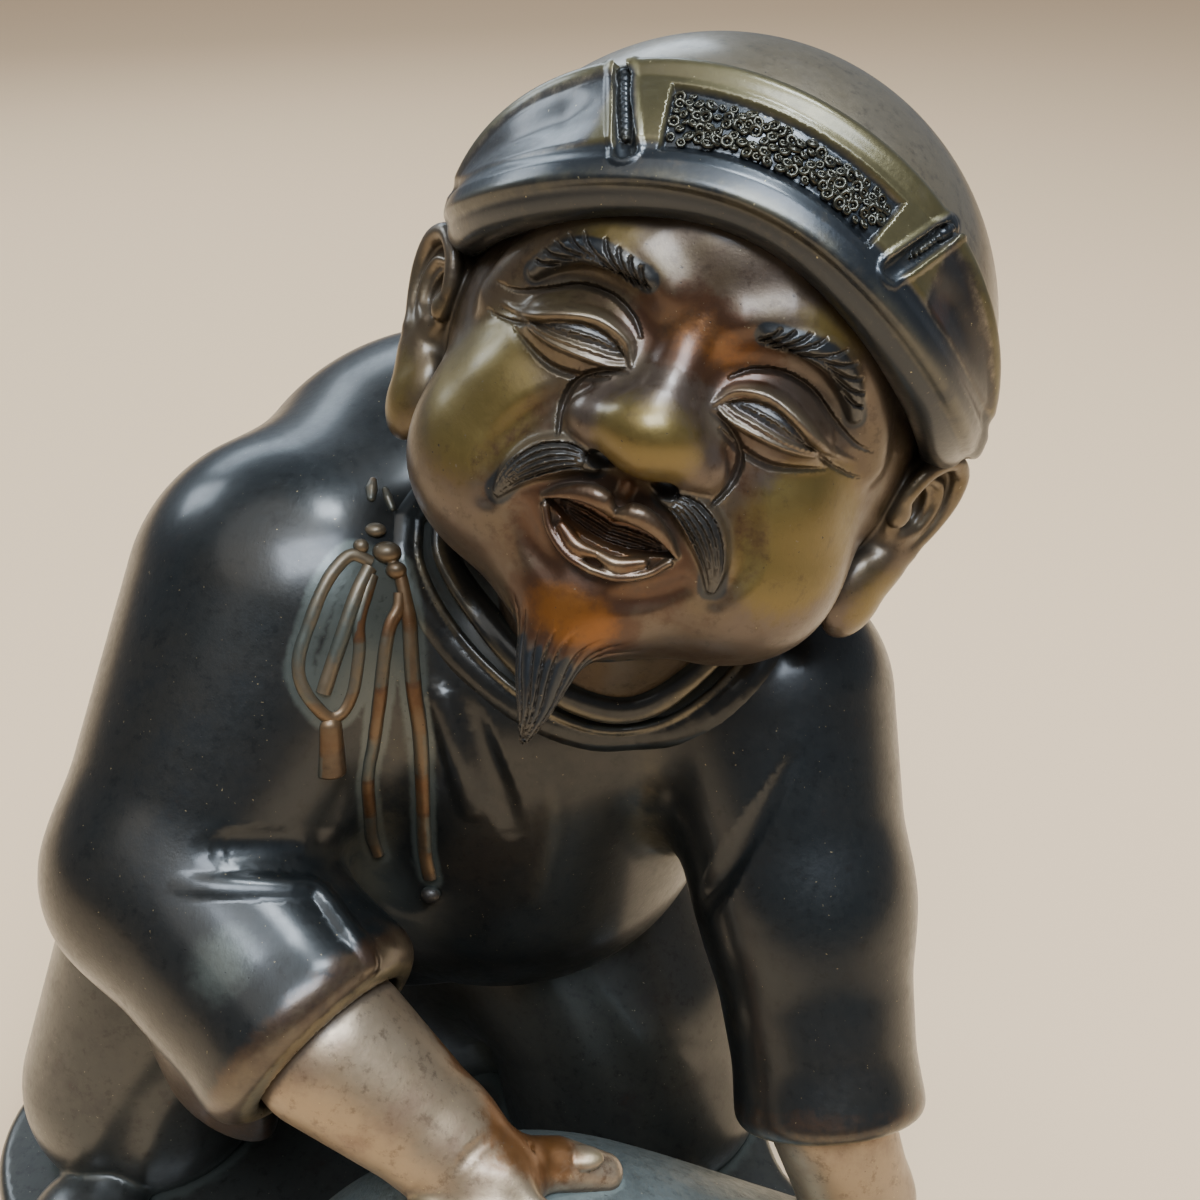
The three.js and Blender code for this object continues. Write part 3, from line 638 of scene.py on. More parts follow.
def face():
    """The head with all its carving, built up from the soft forms to the fine lines"""
    socket = over_face((6.5, 16.2, 2.4, 3), (11, 19.4, 2.6, 3.2), (18, 19.2, 2.6, 3), (24.5, 15, 2, 2.3))
    eye_form = egg((14.6, -27, 12.2), (9, 6.8, 4.6))
    cheek = egg((18.6, -20, 0.5), (9.5, 9.2, 8))
    smile = over_face(*SMILE)
    chin_side = over_face((5.5, -20.2, 0.8, 1.4), (9.5, -18.3, 1, 0.8), (13, -14.6, 0.8, 0.5))
    nostrils = egg((4.8, -35.6, -1.6), (2.1, 2.6, 1.5))
    base = joined(5, SKULL, both(over_face(*BROW_BONE)), both(cheek))
    base = joined(3.5, carved(4, base, both(socket)), both(eye_form), nose())
    base = carved(2.4, base, both(smile), both(chin_side))
    body, strands = beard()
    base = joined(3, base, body)
    hairy = joined(1.2, base, both(over_face(*MOUSTACHE)), both(over_face(*BROW)))
    raised = joined(0.9, hairy, both(lips()))
    wing = [(6, 10.6, 0.4, 0), (9.6, 9.3, 0.7, 0.7), (12.6, 6.4, 0.8, 1), (13.2, 2.4, 0.8, 1),
            (12, -1.4, 0.5, 0.5)]
    cuts = [
        *lengthwise(MOUSTACHE, 5, 0.45, 0.65), *slanted(BROW, 9, 0.45, 0.7), wing,
        [(6.8, 15.6, 0.4, 0.3), (9, 17.6, 0.6, 0.7), (13, 18.9, 0.6, 0.8), (18, 18.1, 0.6, 0.7),
         (22.5, 15.4, 0.6, 0.6), (27, 13.2, 0.5, 0.4), (31, 13, 0.3, 0)],
        [(21, 11.6, 0.3, 0), (24, 9.6, 0.5, 0.4), (28, 8.6, 0.4, 0.3), (31, 8.8, 0.3, 0)],
        [(8.5, 8.8, 0.4, 0.2), (12, 7.2, 0.9, 0.7), (17, 6.5, 0.9, 0.6), (22, 7.8, 0.6, 0.3),
         (26, 9, 0.3, 0)],
        [(0, -3.6, 1.6, 0.3), (0, -6.2, 1.8, 0.4)]]
    ridges = [
        [(6.4, 11.8, 0.7, 0.2), (8, 14.3, 1.1, 0.7), (11, 15.5, 1.35, 1), (14.2, 15.6, 1.4, 1),
         (18, 14.4, 1.3, 0.9), (21.4, 12.6, 1.1, 0.7), (25, 11, 0.9, 0.5), (29, 10.6, 0.6, 0)],
        [(7.2, 11.2, 0.5, 0.2), (9.4, 10.4, 0.75, 0.5), (13, 10, 0.8, 0.6), (18, 9.7, 0.75, 0.5),
         (22, 10, 0.5, 0.2)],
        [(9.4, 12.9, 0.3, 0.1), (12.4, 13, 0.35, 0.35), (16, 12.6, 0.35, 0.35), (20, 11.5, 0.3, 0.1)],
        [(0, -11, 0.4, 0.6), (4, -10.3, 0.4, 0.6), (8, -10.4, 0.3, 0.2)],
        [(0, -12, 0.4, 0.6), (4, -11.4, 0.4, 0.6), (7.8, -11, 0.3, 0.2)],
        [(0, -13, 0.4, 0.6), (3.6, -12.5, 0.4, 0.6), (6.8, -11.7, 0.3, 0.2)]]
    openings = [(EYE_TOP, EYE_FOOT, 0.9), (MOUTH_TOP, MOUTH_FOOT, 1.7)]
    lined = engraved(carved(0.4, raised, both(nostrils)), cuts, ridges, openings)
    return lambda x, y, z: lined(x, y, z) + strands(x, y, z)


# Cap

CROWN = (0.5, 4, 17.5)
CROWN_RADIUS = 44.8
RIM_BROW, RIM_EARS, RIM_NAPE = 37, 15.5, 10
RIM_TUBE, RIM_INSET = 3.8, 3.4
CREST_POINT, CREST_SLOPE = (6.5, -21.2, 48.9), (0.06, 0.81, 0.58)
CAP_MIDDLE = 1.1  # x of the line that the panels and seams are mirrored about
BAND_RISE = 1.7
PANEL_HALF, PANEL_LEAN = 16.4, 0.3
PANEL_TOP, PANEL_FOOT = -6.4, 4.6  # from the crest and from the rim
PANEL_DEPTH, DISH_DEPTH = 1.1, 1.9
CREST_RISE, CREST_GROOVE, RIM_GROOVE = 0.9, 0.75, 0.5
SEAM_TOP, SEAM_FOOT = (25.7, -20.2, 47), (20.2, -31.6, 38.4)
SEAM_EDGE, SEAM_DEPTH, ROLL_RISE = 0.35, 1.3, 1.1
HATCH = 1.15
CARVING_REACH = 5


def rim_height(x, y):
    """Height of the rim's course round the head"""
    px, py = x - CROWN[0], y - CROWN[1]
    front = -py / (length(px, py) + 1e-6)
    rise = np.where(front > 0, RIM_BROW - RIM_EARS, RIM_NAPE - RIM_EARS)
    return RIM_EARS + rise * front * front


def rim(x, y, z):
    """The rolled tube round the cap's edge"""
    course = CROWN_RADIUS - RIM_INSET
    height = rim_height(x, y)
    radius = np.sqrt(np.maximum(course ** 2 - (height - CROWN[2]) ** 2, 1))
    return 0.9 * (length(length(x - CROWN[0], y - CROWN[1]) - radius, z - height) - RIM_TUBE)


def above_rim(x, y, z):
    return 0.85 * (rim_height(x, y) - z)


def on_cap(point, radius):
    """The place at a radius of the crown's ball, out through a point"""
    centre = np.array((0, *CROWN[1:]))
    out = np.array(point, float) - centre
    return centre + out / np.linalg.norm(out) * radius


def panel_inset(x, y, z):
    """How far a place lies inside the front panel's edge"""
    side = PANEL_HALF + PANEL_LEAN * (z - 43) - np.abs(x - CAP_MIDDLE)
    top = PANEL_TOP - behind(CREST_POINT, CREST_SLOPE)(x, y, z)
    return np.minimum(np.minimum(side, top), -above_rim(x, y, z) - PANEL_FOOT)


def cap():
    """A smooth crown with its rim, crest, panels and seams"""
    crest = behind(CREST_POINT, CREST_SLOPE)
    top, foot = (on_cap(p, CROWN_RADIUS + BAND_RISE) for p in (SEAM_TOP, SEAM_FOOT))
    run = foot - top
    across = np.cross(run, top - np.array((0, *CROWN[1:])))
    across *= np.sign(across[0]) / np.linalg.norm(across)

    def rise(x, y, z):
        """Height of the band's carving over the crown's ball"""
        s, q = crest(x, y, z), -above_rim(x, y, z)
        side = np.abs(x - CAP_MIDDLE)
        px, py, pz = side - top[0], y - top[1], z - top[2]
        t = (px * run[0] + py * run[1] + pz * run[2]) / (run @ run)
        clipped = np.clip(t, -0.08, 1.12)
        gap = length(px - clipped * run[0], py - clipped * run[1], pz - clipped * run[2])
        beyond = px * across[0] + py * across[1] + pz * across[2]
        h = (BAND_RISE * ramp(0.5, -1.1, s) + CREST_RISE * bell((s + 2.6) / 2.6)
             - CREST_GROOVE * bell((s - 0.9) / 0.9))
        h -= PANEL_DEPTH * ramp(-0.45, 0.45, panel_inset(x, y, z))
        h -= DISH_DEPTH * ramp(1, 10, beyond) * ramp(-3.6, -10, s) * ramp(3.6, 10, q) * ramp(14, -2, y)
        h -= RIM_GROOVE * bell((q - 4.6) / 1.6) * ramp(0.5, -2, s)
        h += SEAM_EDGE * bell((gap - 2) / 0.9) - SEAM_DEPTH * ramp(1.7, 1.1, gap)
        twist = np.sin(t * np.linalg.norm(run) / HATCH * 2 * np.pi + 2 * gap)
        roll = ROLL_RISE * bell(gap / 1.3) * (0.85 + 0.15 * twist)
        return h + roll * ramp(-0.05, 0.02, t) * ramp(1.1, 1.02, t)

    def crown(x, y, z):
        d = length(x - CROWN[0], y - CROWN[1], z - CROWN[2]) - CROWN_RADIUS
        close = np.abs(d) < CARVING_REACH
        if close.any():
            d[close] -= rise(x[close], y[close], z[close]).astype(d.dtype)
        return d
    return joined(1, rim, kept(1.5, crown, above_rim))


def in_head(shape, margin=12):
    return within(HEAD, 70, placed(HEAD, HEAD_TURN, shape), margin)


# Robe

TUNIC_HEM = 58
BAG, BAG_TURN, BAG_HEM = (-78, -57, 84), (0, 0, -39), -30
SLEEVE_DEPTH = 6.0


def sleeve(bend, rounding, wall, *stops):
    """Cut off at its hem with a rounded edge, hollow just inside it"""
    end, before = np.array(stops[-1], float), np.array(stops[-2], float)
    way = (end - before)[:3] / np.linalg.norm((end - before)[:3])
    mouth_at = end[:3] - SLEEVE_DEPTH * way
    beyond = end[:3] + end[3] * way
    hollow = limb(stop(mouth_at, end[3] - wall), stop(beyond, end[3] - wall))
    stops = (*stops, stop(beyond, end[3]))
    arm = joined(bend, *[limb(a, b) for a, b in zip(stops[:-1], stops[1:])])
    cut = kept(rounding, arm, behind(end[:3], way))
    return carved(1, cut, kept(0.5, hollow, behind(mouth_at, -way)))


ARMPIT_CREASE = [(33.5, -61, 145, 2, 0.1), (29.2, -64.8, 137.7, 2.5, 1), (25.1, -66.5, 130.3, 3, 1.5),
                 (21.1, -66.8, 121.5, 3.5, 1.4), (18.5, -64, 112, 3.5, 0.4)]
ROBE_FOLDS = (
    [(-29, -50.5, 151, 3, -0.3), (-27.3, -51.7, 147.6, 3.4, -1.3), (-25, -54, 138, 3.6, -1.4),
     (-23.4, -55.3, 128, 3.4, -0.4)],
    [(-24.5, -53, 151, 3, 0.2), (-22, -54, 144, 4, 1.3), (-18.5, -56, 134, 4, 1.2),
     (-16, -57, 124, 3.5, 0.3)],
    [(-12, -60, 148, 3.5, 0.2), (-9, -60, 138, 5, -0.9), (-8, -60, 122, 6, -1.1), (-12, -58, 104, 6, -0.6)],
    [(-69.6, -77, 129.3, 2.5, -0.2), (-62.2, -76.1, 128.3, 3, -1), (-52.9, -73.4, 125.9, 3, -1.4),
     (-48.3, -71.6, 123.5, 3, -1.4), (-42.5, -77.9, 120.2, 3, -1.3), (-38.5, -82.1, 116.2, 2.5, -0.6)],
    [(-66, -72, 133, 3.5, 0.3), (-60, -71, 132.5, 4, 1.4), (-51, -68, 130, 4, 1.8), (-45, -67, 127, 4, 1.8),
     (-39.5, -73, 123.5, 3.5, 1.2), (-35.5, -78, 119.5, 3, 0.4)],
    [(-72, -70, 127, 4, 0.2), (-70, -76, 120, 5, 1.1), (-62, -84, 111, 5, 1), (-56, -90, 104, 4, 0.3)],
    [(-84, -64, 112, 5, 0.2), (-82, -72, 104, 6, 1.2), (-74, -82, 95, 6, 1.1), (-66, -88, 90, 4, 0.3)],
    [(24, -66, 108, 4, 0.2), (28, -73, 96, 5, 1), (33, -80, 86, 5, 0.8), (37, -85, 80, 3, 0.2)],
    [(-58, 44, 150, 6, 0.3), (-76, 34, 132, 8, 1.6), (-88, 18, 112, 8, 1.4), (-92, 0, 96, 6, 0.4)],
    [(-34, 54, 128, 6, 0.3), (-50, 58, 112, 8, 1.5), (-70, 50, 92, 8, 1.5), (-84, 36, 76, 6, 0.4)],
    [(-6, 46, 118, 6, 0.3), (-20, 56, 100, 8, 1.4), (-38, 62, 82, 8, 1.3), (-54, 62, 66, 6, 0.5)])


def robe():
    """Trunk and tunic, the two sleeves and the hanging bag"""
    trunk = joined(
        18,
        egg((-22, -14, 101), (46, 40, 42)),
        egg((-13, -20, 136), (43, 36, 34)),
        egg(HUMP, (46, 42, 42)),
        limb(stop(HUMP, 40), stop(HIPS, 46)))
    skirt = limb((-50, 20, 80, 46), (-50, 20, 60, 50))
    tunic = kept(2.5, joined(10, trunk, skirt), behind((0, 0, TUNIC_HEM), (0, 0, -1)))
    right = sleeve(5, 8, 6, stop(SHOULDER_RIGHT, 34), stop(ELBOW_RIGHT, 22.5), stop(HEM_RIGHT, 21.5))
    bag = placed(BAG, BAG_TURN, kept(
        1.5, egg((0, 0, 0), (21, 8.5, 44)), behind((0, 0, BAG_HEM), (0, 0, -1))))
    left = sleeve(6, 3.5, 3.2, stop(SHOULDER_LEFT, 25), stop(ELBOW_LEFT, 19), stop(HEM_LEFT, 16))
    cloth = joined(10, tunic, joined(9, right, bag), left)
    return folded(cloth, ARMPIT_CREASE, *ROBE_FOLDS)


NECKLINE = [(-36.5, -36.2, 177), (-34, -39.9, 172.4), (-30.1, -43.8, 164.9), (-24.6, -46.4, 158.8),
            (-20.1, -49.5, 154.7), (-15, -52.4, 150.6), (-6.4, -53.6, 147.1), (0.6, -53.3, 143.4),
            (5.7, -52.9, 141.8), (11.8, -53.9, 144.2), (19.8, -55.7, 151.5), (25.2, -53.8, 156.8),
            (27.5, -51.3, 159.6), (30.5, -43.5, 163.5), (31.5, -36, 165), (30, -28, 163), (22.5, -18, 160.5),
            (13, -10.5, 167), (8, -9, 172.3), (0, -10, 178.5), (-13, -18, 183), (-22, -24, 181),
            (-31, -29, 180.5)]


def beside(rows, inwards, raised, under):
    """A closed line moved over the form below it, towards its middle and off the skin"""
    rows = settled(under, np.array(rows, float), 6)
    way = np.roll(rows, -1, axis=0) - np.roll(rows, 1, axis=0)
    out = slopes(under, rows)[1]
    side = np.cross(out, way)
    side /= np.linalg.norm(side, axis=1, keepdims=True)
    side *= np.sign(((rows.mean(0) - rows) * side).sum())
    moved = rows + side * inwards
    for _ in range(3):
        moved = settled(under, (np.roll(moved, 1, axis=0) + 2 * moved + np.roll(moved, -1, axis=0)) / 4, 4)
    out = slopes(under, moved)[1]
    moved += out / np.linalg.norm(out, axis=1, keepdims=True) * raised
    return eased(np.vstack([moved, moved[:1]]), 3)


def collar(under):
    """A thin turned edge on a soft band, a second line outside it and the inner collar in a gap"""
    def line(inwards, raised, radius):
        stops = [stop(point, radius) for point in beside(NECKLINE, inwards, raised, under)]
        arcs = [stops[i:i + 10] for i in range(0, len(stops) - 1, 9)]
        return joined(0.01, *[around(arc, limb(*arc), 4) for arc in arcs])
    band = joined(2, line(-1.4, -1.9, 2.9), line(-3.4, -2.3, 2.7))
    inner = joined(1, line(5.6, -0.4, 2.8), line(4, 1.4, 0.9))
    gutter = line(2, 0.2, 1.1)
    return joined(0.5, carved(0.8, joined(1, band, inner), gutter), line(0, 0.5, 0.85), line(-3.2, 0.1, 0.6))


# Hands

def laid(points, radii, under, sunk=0.25):
    """Points moved so that limbs of these radii rest on a form, a little pressed into it"""
    points, radii = np.array(points, float), np.array(radii, float)
    for _ in range(3):
        d, gradient = slopes(under, points)
        out = gradient / np.linalg.norm(gradient, axis=1, keepdims=True)
        points += out * ((1 - sunk) * radii - d)[:, None]
    return points, out


def finger(root, tip, bend, under):
    """Three bones, the last two laid on the form below, with a nail and creases over the joints"""
    joint = np.array(between(root, tip, 0.45)) + np.array(bend)
    radii = (3.7, 3.5, 2.9)
    (middle, end), out = laid([between(joint, tip, 0.4), tip], radii[1:], under)
    rows = eased([stop(root, 4), stop(joint, radii[0]), stop(middle, radii[1]), stop(end, radii[2])], 3)
    way = (end - middle) / np.linalg.norm(end - middle)
    nail = limb(stop(end - way * 1.6 + out[1] * 1.5, 1.75), stop(end + way * 0.7 + out[1] * 1.1, 1.6))
    side = np.cross(way, out[1])
    creases = []
    for place, up in ((middle, out[0]), (between(root, joint, 0.9), out[0])):
        for shift in (-0.9, 0.5):
            at = np.array(place) + way * shift + up * 3.2
            creases.append([(*(at - side * 2.2 - up * 0.8), 0.7, 0.1), (*at, 0.8, 0.45),
                            (*(at + side * 2.2 - up * 0.8), 0.7, 0.1)])
    return joined(0.25, limb(*rows), nail), creases


def hand(wrist, palm, knuckles, tips, thumb, bend, under):
    """Palm, thumb, tendons and four fingers laid on the form below"""
    fingers, creases, bumps = [], [], []
    for i, tip in enumerate(tips):
        root = between(knuckles[0], knuckles[1], i / (len(tips) - 1))
        made, lines = finger(root, tip, bend, under)
        fingers.append(made)
        creases += lines
        bumps.append(egg(np.array(root) + (0, 0, 1.6), (3, 3.2, 3)))
    tendons = [limb(stop(np.array(between(palm, bump, 0.35)) + (0, 0, 7), 1.4),
                    stop(np.array(bump) + (0, 1, 3), 1.3))
               for bump in (between(knuckles[0], knuckles[1], i / 3) for i in range(4))]
    palm_form = joined(
        3,
        limb(stop(wrist, 10.5), stop(palm, 9)),
        limb(stop(palm, 8), stop(between(knuckles[0], knuckles[1], 0.5), 6)),
        limb(stop(knuckles[0], 5), stop(knuckles[1], 5)),
        limb(*thumb),
        *tendons, *bumps)
    return folded(joined(1.8, palm_form, *fingers), *creases)


THUMB_NAIL = egg((-3.6, -88.2, 75.2), (4.4, 2.6, 1.9))
THUMB_CREASES = (
    [(-13, -94, 80, 0.9, 0.1), (-12, -91, 82, 1, 0.6), (-11.4, -88, 81, 0.9, 0.1)],
    [(-14.6, -95, 80, 0.9, 0.1), (-13.8, -92, 82, 1, 0.5), (-13, -89, 81.6, 0.9, 0.1)],
    [(-26, -104, 86, 1.4, 0.1), (-22, -98, 88.6, 1.6, 0.7), (-17, -92, 88, 1.4, 0.1)])


def arms():
    sack_form = sack()
    right = hand(
        WRIST_RIGHT, (-19, -95, 77), ((-30, -104, 76), (-9, -104, 75)),
        ((-38, -117, 63), (-27, -121, 62), (-15, -122, 62), (-3, -118, 64)),
        ((-17, -91, 76, 5.5), (-8, -88, 73.5, 4.8), (0.5, -86.5, 69, 3.7)), (0, 0, 2.5), sack_form)
    left = hand(
        WRIST_LEFT, (49, -92, 54), ((40, -101, 53.5), (58, -100, 51)),
        ((32, -117, 46), (43, -121, 44), (54, -120, 41), (65, -114, 36)),
        ((44, -88, 55, 5), (35, -91, 53, 4.4), (27, -97, 51, 3.4)), (0, 0, 3), sack_form)
    return joined(
        2,
        limb(stop(ELBOW_RIGHT, 12), stop(HEM_RIGHT, 14.5), stop(WRIST_RIGHT, 10.5)),
        limb(stop(ELBOW_LEFT, 12), stop(HEM_LEFT, 11.5), stop(WRIST_LEFT, 10.5)),
        folded(joined(0.3, right, THUMB_NAIL), *THUMB_CREASES), left)


# Legs, sack and ground

TROUSER_FOLDS = (
    [(-84, 52, 74, 5, 0.3), (-98, 36, 60, 6, 1.5), (-112, 14, 46, 6, 1.3), (-122, -6, 36, 5, 0.3)],
    [(-96, -32, 70, 4, 0.3), (-112, -32, 56, 5, 1.4), (-124, -24, 42, 5, 1.2), (-130, -12, 30, 4, 0.3)],
    [(-20, 54, 70, 5, 0.3), (0, 44, 56, 6, 1.5), (20, 26, 44, 6, 1.3), (34, 4, 34, 5, 0.3)],
    [(-30, 66, 50, 5, 0.3), (-46, 68, 40, 6, 1.4), (-60, 66, 32, 6, 1.2), (-74, 58, 26, 4, 0.3)],
    [(8, -46, 62, 4, 0.3), (22, -42, 50, 5, 1.2), (34, -32, 36, 5, 1.1), (38, -20, 24, 4, 0.3)],
    [(-90, 40, 30, 5, 0.4), (-104, 20, 24, 5, 1.5), (-114, 4, 20, 4, 0.4)])


def trousers():
    """Two bent legs and the seat, pleated in front"""
    right = limb((-62, 14, 74, 38), (-97, -14, 56, 27), (-107, -22, 24, 28))
    left = limb((-20, 12, 76, 41), (4, -12, 42, 32), (8, -16, 20, 32))
    seat = limb((-52, 20, 70, 44), (-52, 24, 20, 42))
    cloth = kept(2, joined(12, right, left, seat), behind((0, 0, SOLE - 2), (0, 0, -1)))
    pleats = [limb((high, -40, 74, 4), (0.7 * low + 0.3 * high, -52, 40, 5), (low, -57, 8, 6))
              for low, high in ((-114, -66), (-98, -62), (-2, -22), (18, -8))]
    return folded(carved(5, cloth, *pleats), *TROUSER_FOLDS)


TOES = (-7.5, -2.6, 2, 6)


def foot(place, turn):
    """A bare foot from the heel to the toes"""
    form = joined(4, egg((0, 0, 5), (12, 17, 10)), egg((0, -20, 3), (12.5, 13, 8)))
    toes = [egg((x, -31 + 0.12 * x * x / 2, 1.5), (2.6, 4.2, 2.8)) for x in TOES]
    return placed(place, (0, 0, turn), kept(
        1.5, joined(1.2, form, egg((-7.6, -32, 2), (3.6, 5, 3.6)), *toes), behind((0, 0, -2), (0, 0, -1))))


GATHERS = 11
SACK_FOLDS = (
    [(-58, -76, 44, 5, 0.3), (-48, -70, 56, 7, 1.6), (-30, -68, 64, 7, 1.3), (-14, -72, 70, 5, 0.3)],
    [(-54, -118, 40, 5, 0.3), (-38, -128, 44, 7, 1.6), (-18, -134, 42, 7, 1.5), (0, -134, 34, 5, 0.3)],
    [(-60, -104, 22, 5, 0.3), (-46, -124, 20, 7, 1.5), (-24, -134, 18, 7, 1.5), (2, -136, 16, 5, 0.3)],
    [(16, -128, 26, 5, 0.3), (34, -128, 26, 6, 1.5), (52, -122, 26, 5, 1.2), (64, -117, 27, 3, 0.5)],
    [(22, -84, 50, 5, 0.3), (38, -88, 48, 6, 1.4), (54, -96, 42, 5, 1.2), (66, -106, 36, 3, 0.5)],
    [(24, -72, 30, 5, 0.3), (42, -78, 30, 6, 1.4), (58, -92, 30, 5, 1.2), (68, -104, 30, 3, 0.5)])


def sack():
    """Lies on its side, folded, its neck gathered by a tie and open in a frill"""
    body = joined(20, egg(SACK, (52, 38, 39)), egg((34, -98, 26), (40, 32, 27)))
    neck = joined(
        4,
        limb(stop(SACK_NECK, 22), stop(TIE, 9)),
        kept(2, limb(stop(TIE, 8), stop(SACK_MOUTH, 18)), behind((84, -118.5, 34.5), (18, -8, 8))))
    turns = [ring((0, 0, place), (9.4, 9.4), 1.6) for place in (1.6, -1.6)]
    tie = placed(TIE, (0, 66, -24), joined(0.4, *turns))
    start, way = Vector((44, -100, 25)), Vector(SACK_MOUTH) - Vector(SACK_NECK)
    way.normalize()
    right = way.cross(Vector((0, 0, 1))).normalized()
    up = right.cross(way)
    whole = joined(8, body, neck)

    def gathered(x, y, z):
        d = whole(x, y, z)
        px, py, pz = x - start[0], y - start[1], z - start[2]
        along = px * way[0] + py * way[1] + pz * way[2]
        angle = np.arctan2(px * up[0] + py * up[1] + pz * up[2],
                           px * right[0] + py * right[1] + pz * right[2])
        swell = ramp(2, 26, along) * (np.abs(d) < 9)
        return d + (1.1 * swell * np.cos(GATHERS * angle + 0.06 * along) ** 4).astype(d.dtype)
    hollow = kept(1, egg(SACK_MOUTH, (7, 12, 12)), behind((81.5, -117.2, 33.4), (-18, 8, -8)))
    closed = carved(2, folded(gathered, *SACK_FOLDS), hollow)
    return kept(1, joined(1, closed, tie), behind((0, 0, 3), (0, 0, -1)))


GROUND_MARGIN = 8.0
GROUND_ROUND = 2.5
PADS = ((-106, -26, 28), (10, -26, 21), (-48, 26, 42), (-12, -94, 48), (40, -98, 38), (-66, -68, 40))


def ground(x, y, z):
    """A thin plate round what stands on it, its upper edge rounded"""
    plan = None
    for cx, cy, r in PADS:
        e = length(x - cx, y - cy) - r - GROUND_MARGIN
        plan = e if plan is None else np.minimum(plan, e) - near(32, plan, e)
    side, lid = plan + GROUND_ROUND, z - SOLE + GROUND_ROUND
    upper = (np.minimum(np.maximum(side, lid), 0)
             + length(np.maximum(side, 0), np.maximum(lid, 0)) - GROUND_ROUND)
    return np.maximum(upper, 0.5 - z) + near(1.5, upper, 0.5 - z) - 0.5


# Pieces

HEAD_FIELD = in_head(carved(0.5, joined(0.8, face(), ear()),
                            lambda x, y, z: above_rim(x, y, z) + 3.0))
CAP_FIELD = in_head(cap())
ROBE_FIELD = robe()
ARMS_FIELD = arms()
LEGS_FIELD = joined(1, trousers(), foot(FOOT_RIGHT, -18), foot(FOOT_LEFT, 12))
SACK_FIELD = sack()
NECK_FIELD = limb(stop(NECK_FOOT, 18.5), stop(NECK_TOP, 25))
COLLAR_FIELD = collar(joined(4, ROBE_FIELD, NECK_FIELD))


WHOLE = (HEAD_FIELD, CAP_FIELD, ROBE_FIELD, COLLAR_FIELD, ARMS_FIELD, LEGS_FIELD, SACK_FIELD,
         NECK_FIELD, ground)


def nearest(x, y, z):
    """The whole figure, for the shade that pieces give each other"""
    d = WHOLE[0](x, y, z)
    for other in WHOLE[1:]:
        d = np.minimum(d, other(x, y, z))
    return d


# Cast cords on the breast, as paths along the robe with a half width

LOOP = [(-39.3, -43.5, 172.5), (-42.6, -43.9, 174.2), (-45.4, -46.9, 172.6), (-47.6, -49.5, 169.3),
        (-49.4, -51.8, 165.2), (-51, -54.1, 161.1), (-51.3, -55.7, 157.8), (-50.4, -56.7, 154.7),
        (-48.7, -57, 151.7), (-46.8, -56.6, 149.3), (-44.6, -55.3, 149.7), (-43, -53.6, 152.7),
        (-42.1, -52.1, 156.8), (-41.6, -50.8, 160.3), (-41.7, -49.9, 163), (-41.2, -49, 165.3),
        (-40, -47.1, 168.5), (-39.2, -44.8, 170.8)]
LONG_END = [(-34.7, -44.7, 167.1), (-34.9, -46.2, 164.9), (-36.3, -47.8, 162.8), (-37.2, -49.1, 159.8),
            (-37.9, -50.5, 155.7), (-38.6, -51.8, 150.9), (-39.5, -53, 145.8), (-40.4, -53.8, 141.1),
            (-41.3, -54.3, 137.5), (-42, -54.3, 132.7), (-42.3, -53, 125.4), (-42.6, -51.2, 119),
            (-41.8, -50.5, 114)]
FRONT_END = [(-34.8, -42.1, 170.6), (-33.9, -44.4, 166.9), (-33.2, -46.3, 163.1), (-33.1, -47.7, 159.6),
             (-33, -49.1, 154.9), (-32.6, -50.5, 150), (-32, -51.8, 145), (-31.8, -52.7, 140.3),
             (-31.9, -53.2, 135.3), (-32.1, -53.4, 129.2), (-32.4, -53.3, 122.8), (-32.5, -53.2, 116.2),
             (-32, -53.3, 110.4)]
INNER_END = [(-39.6, -44.2, 171.9), (-41.2, -47.2, 169.4), (-42.8, -50.1, 165.8), (-44.3, -52.4, 161.9),
             (-45.9, -54.5, 157.8), (-47.3, -56.4, 154)]
CORDS = (("cord_loop", LOOP, 1.3), ("cord_end_long", LONG_END, 1.4), ("cord_end_front", FRONT_END, 1.55),
         ("cord_end_inner", INNER_END, 1.5))
CORD_SINK = 0.55
CORD_PATHS = [eased(path, 3) for _, path, _ in CORDS]


def bow():
    """Knot with its beads, the two tips over it, the tassel under the loop and the end's small knot"""
    beads = joined(
        0.5,
        egg((-37, -41.5, 173.4), (2.6, 2, 1.9)), egg((-41.2, -42.3, 175), (1.4, 1.3, 1.3)),
        egg((-39.1, -39, 176.4), (2, 1.5, 1.3)), egg((-35.4, -43, 170.7), (1.9, 1.5, 1.6)))
    tips = joined(
        0.3,
        limb((-40.2, -33.9, 180.1, 0.8), (-40.3, -32, 181, 1.1), (-40.2, -30.4, 181.8, 0.7)),
        limb((-38, -31.4, 180.5, 0.6), (-37.4, -32.8, 179.6, 0.9), (-36.6, -34.2, 178.3, 0.7)))
    tassel = kept(0.6, limb((-46.8, -57, 147.6, 2.2), (-47, -58.6, 140, 2.7), (-47.2, -59.6, 135, 2.8)),
                  behind((-47, -58.4, 138.6), (0, -0.2, -1)))
    return joined(0.4, beads, tips, tassel, egg((-32, -53.8, 106.6), (1.9, 1.6, 1.7)))


def distance_to(paths, points):
    """Distance of each point from the nearest path, whose rows are places"""
    least = np.full(len(points), FAR)
    for rows in paths:
        for a, b in zip(rows[:-1], rows[1:]):
            way = b - a
            t = np.clip((points - a) @ way / (way @ way), 0, 1)
            np.minimum(least, np.linalg.norm(points - a - t[:, None] * way, axis=1), out=least)
    return least


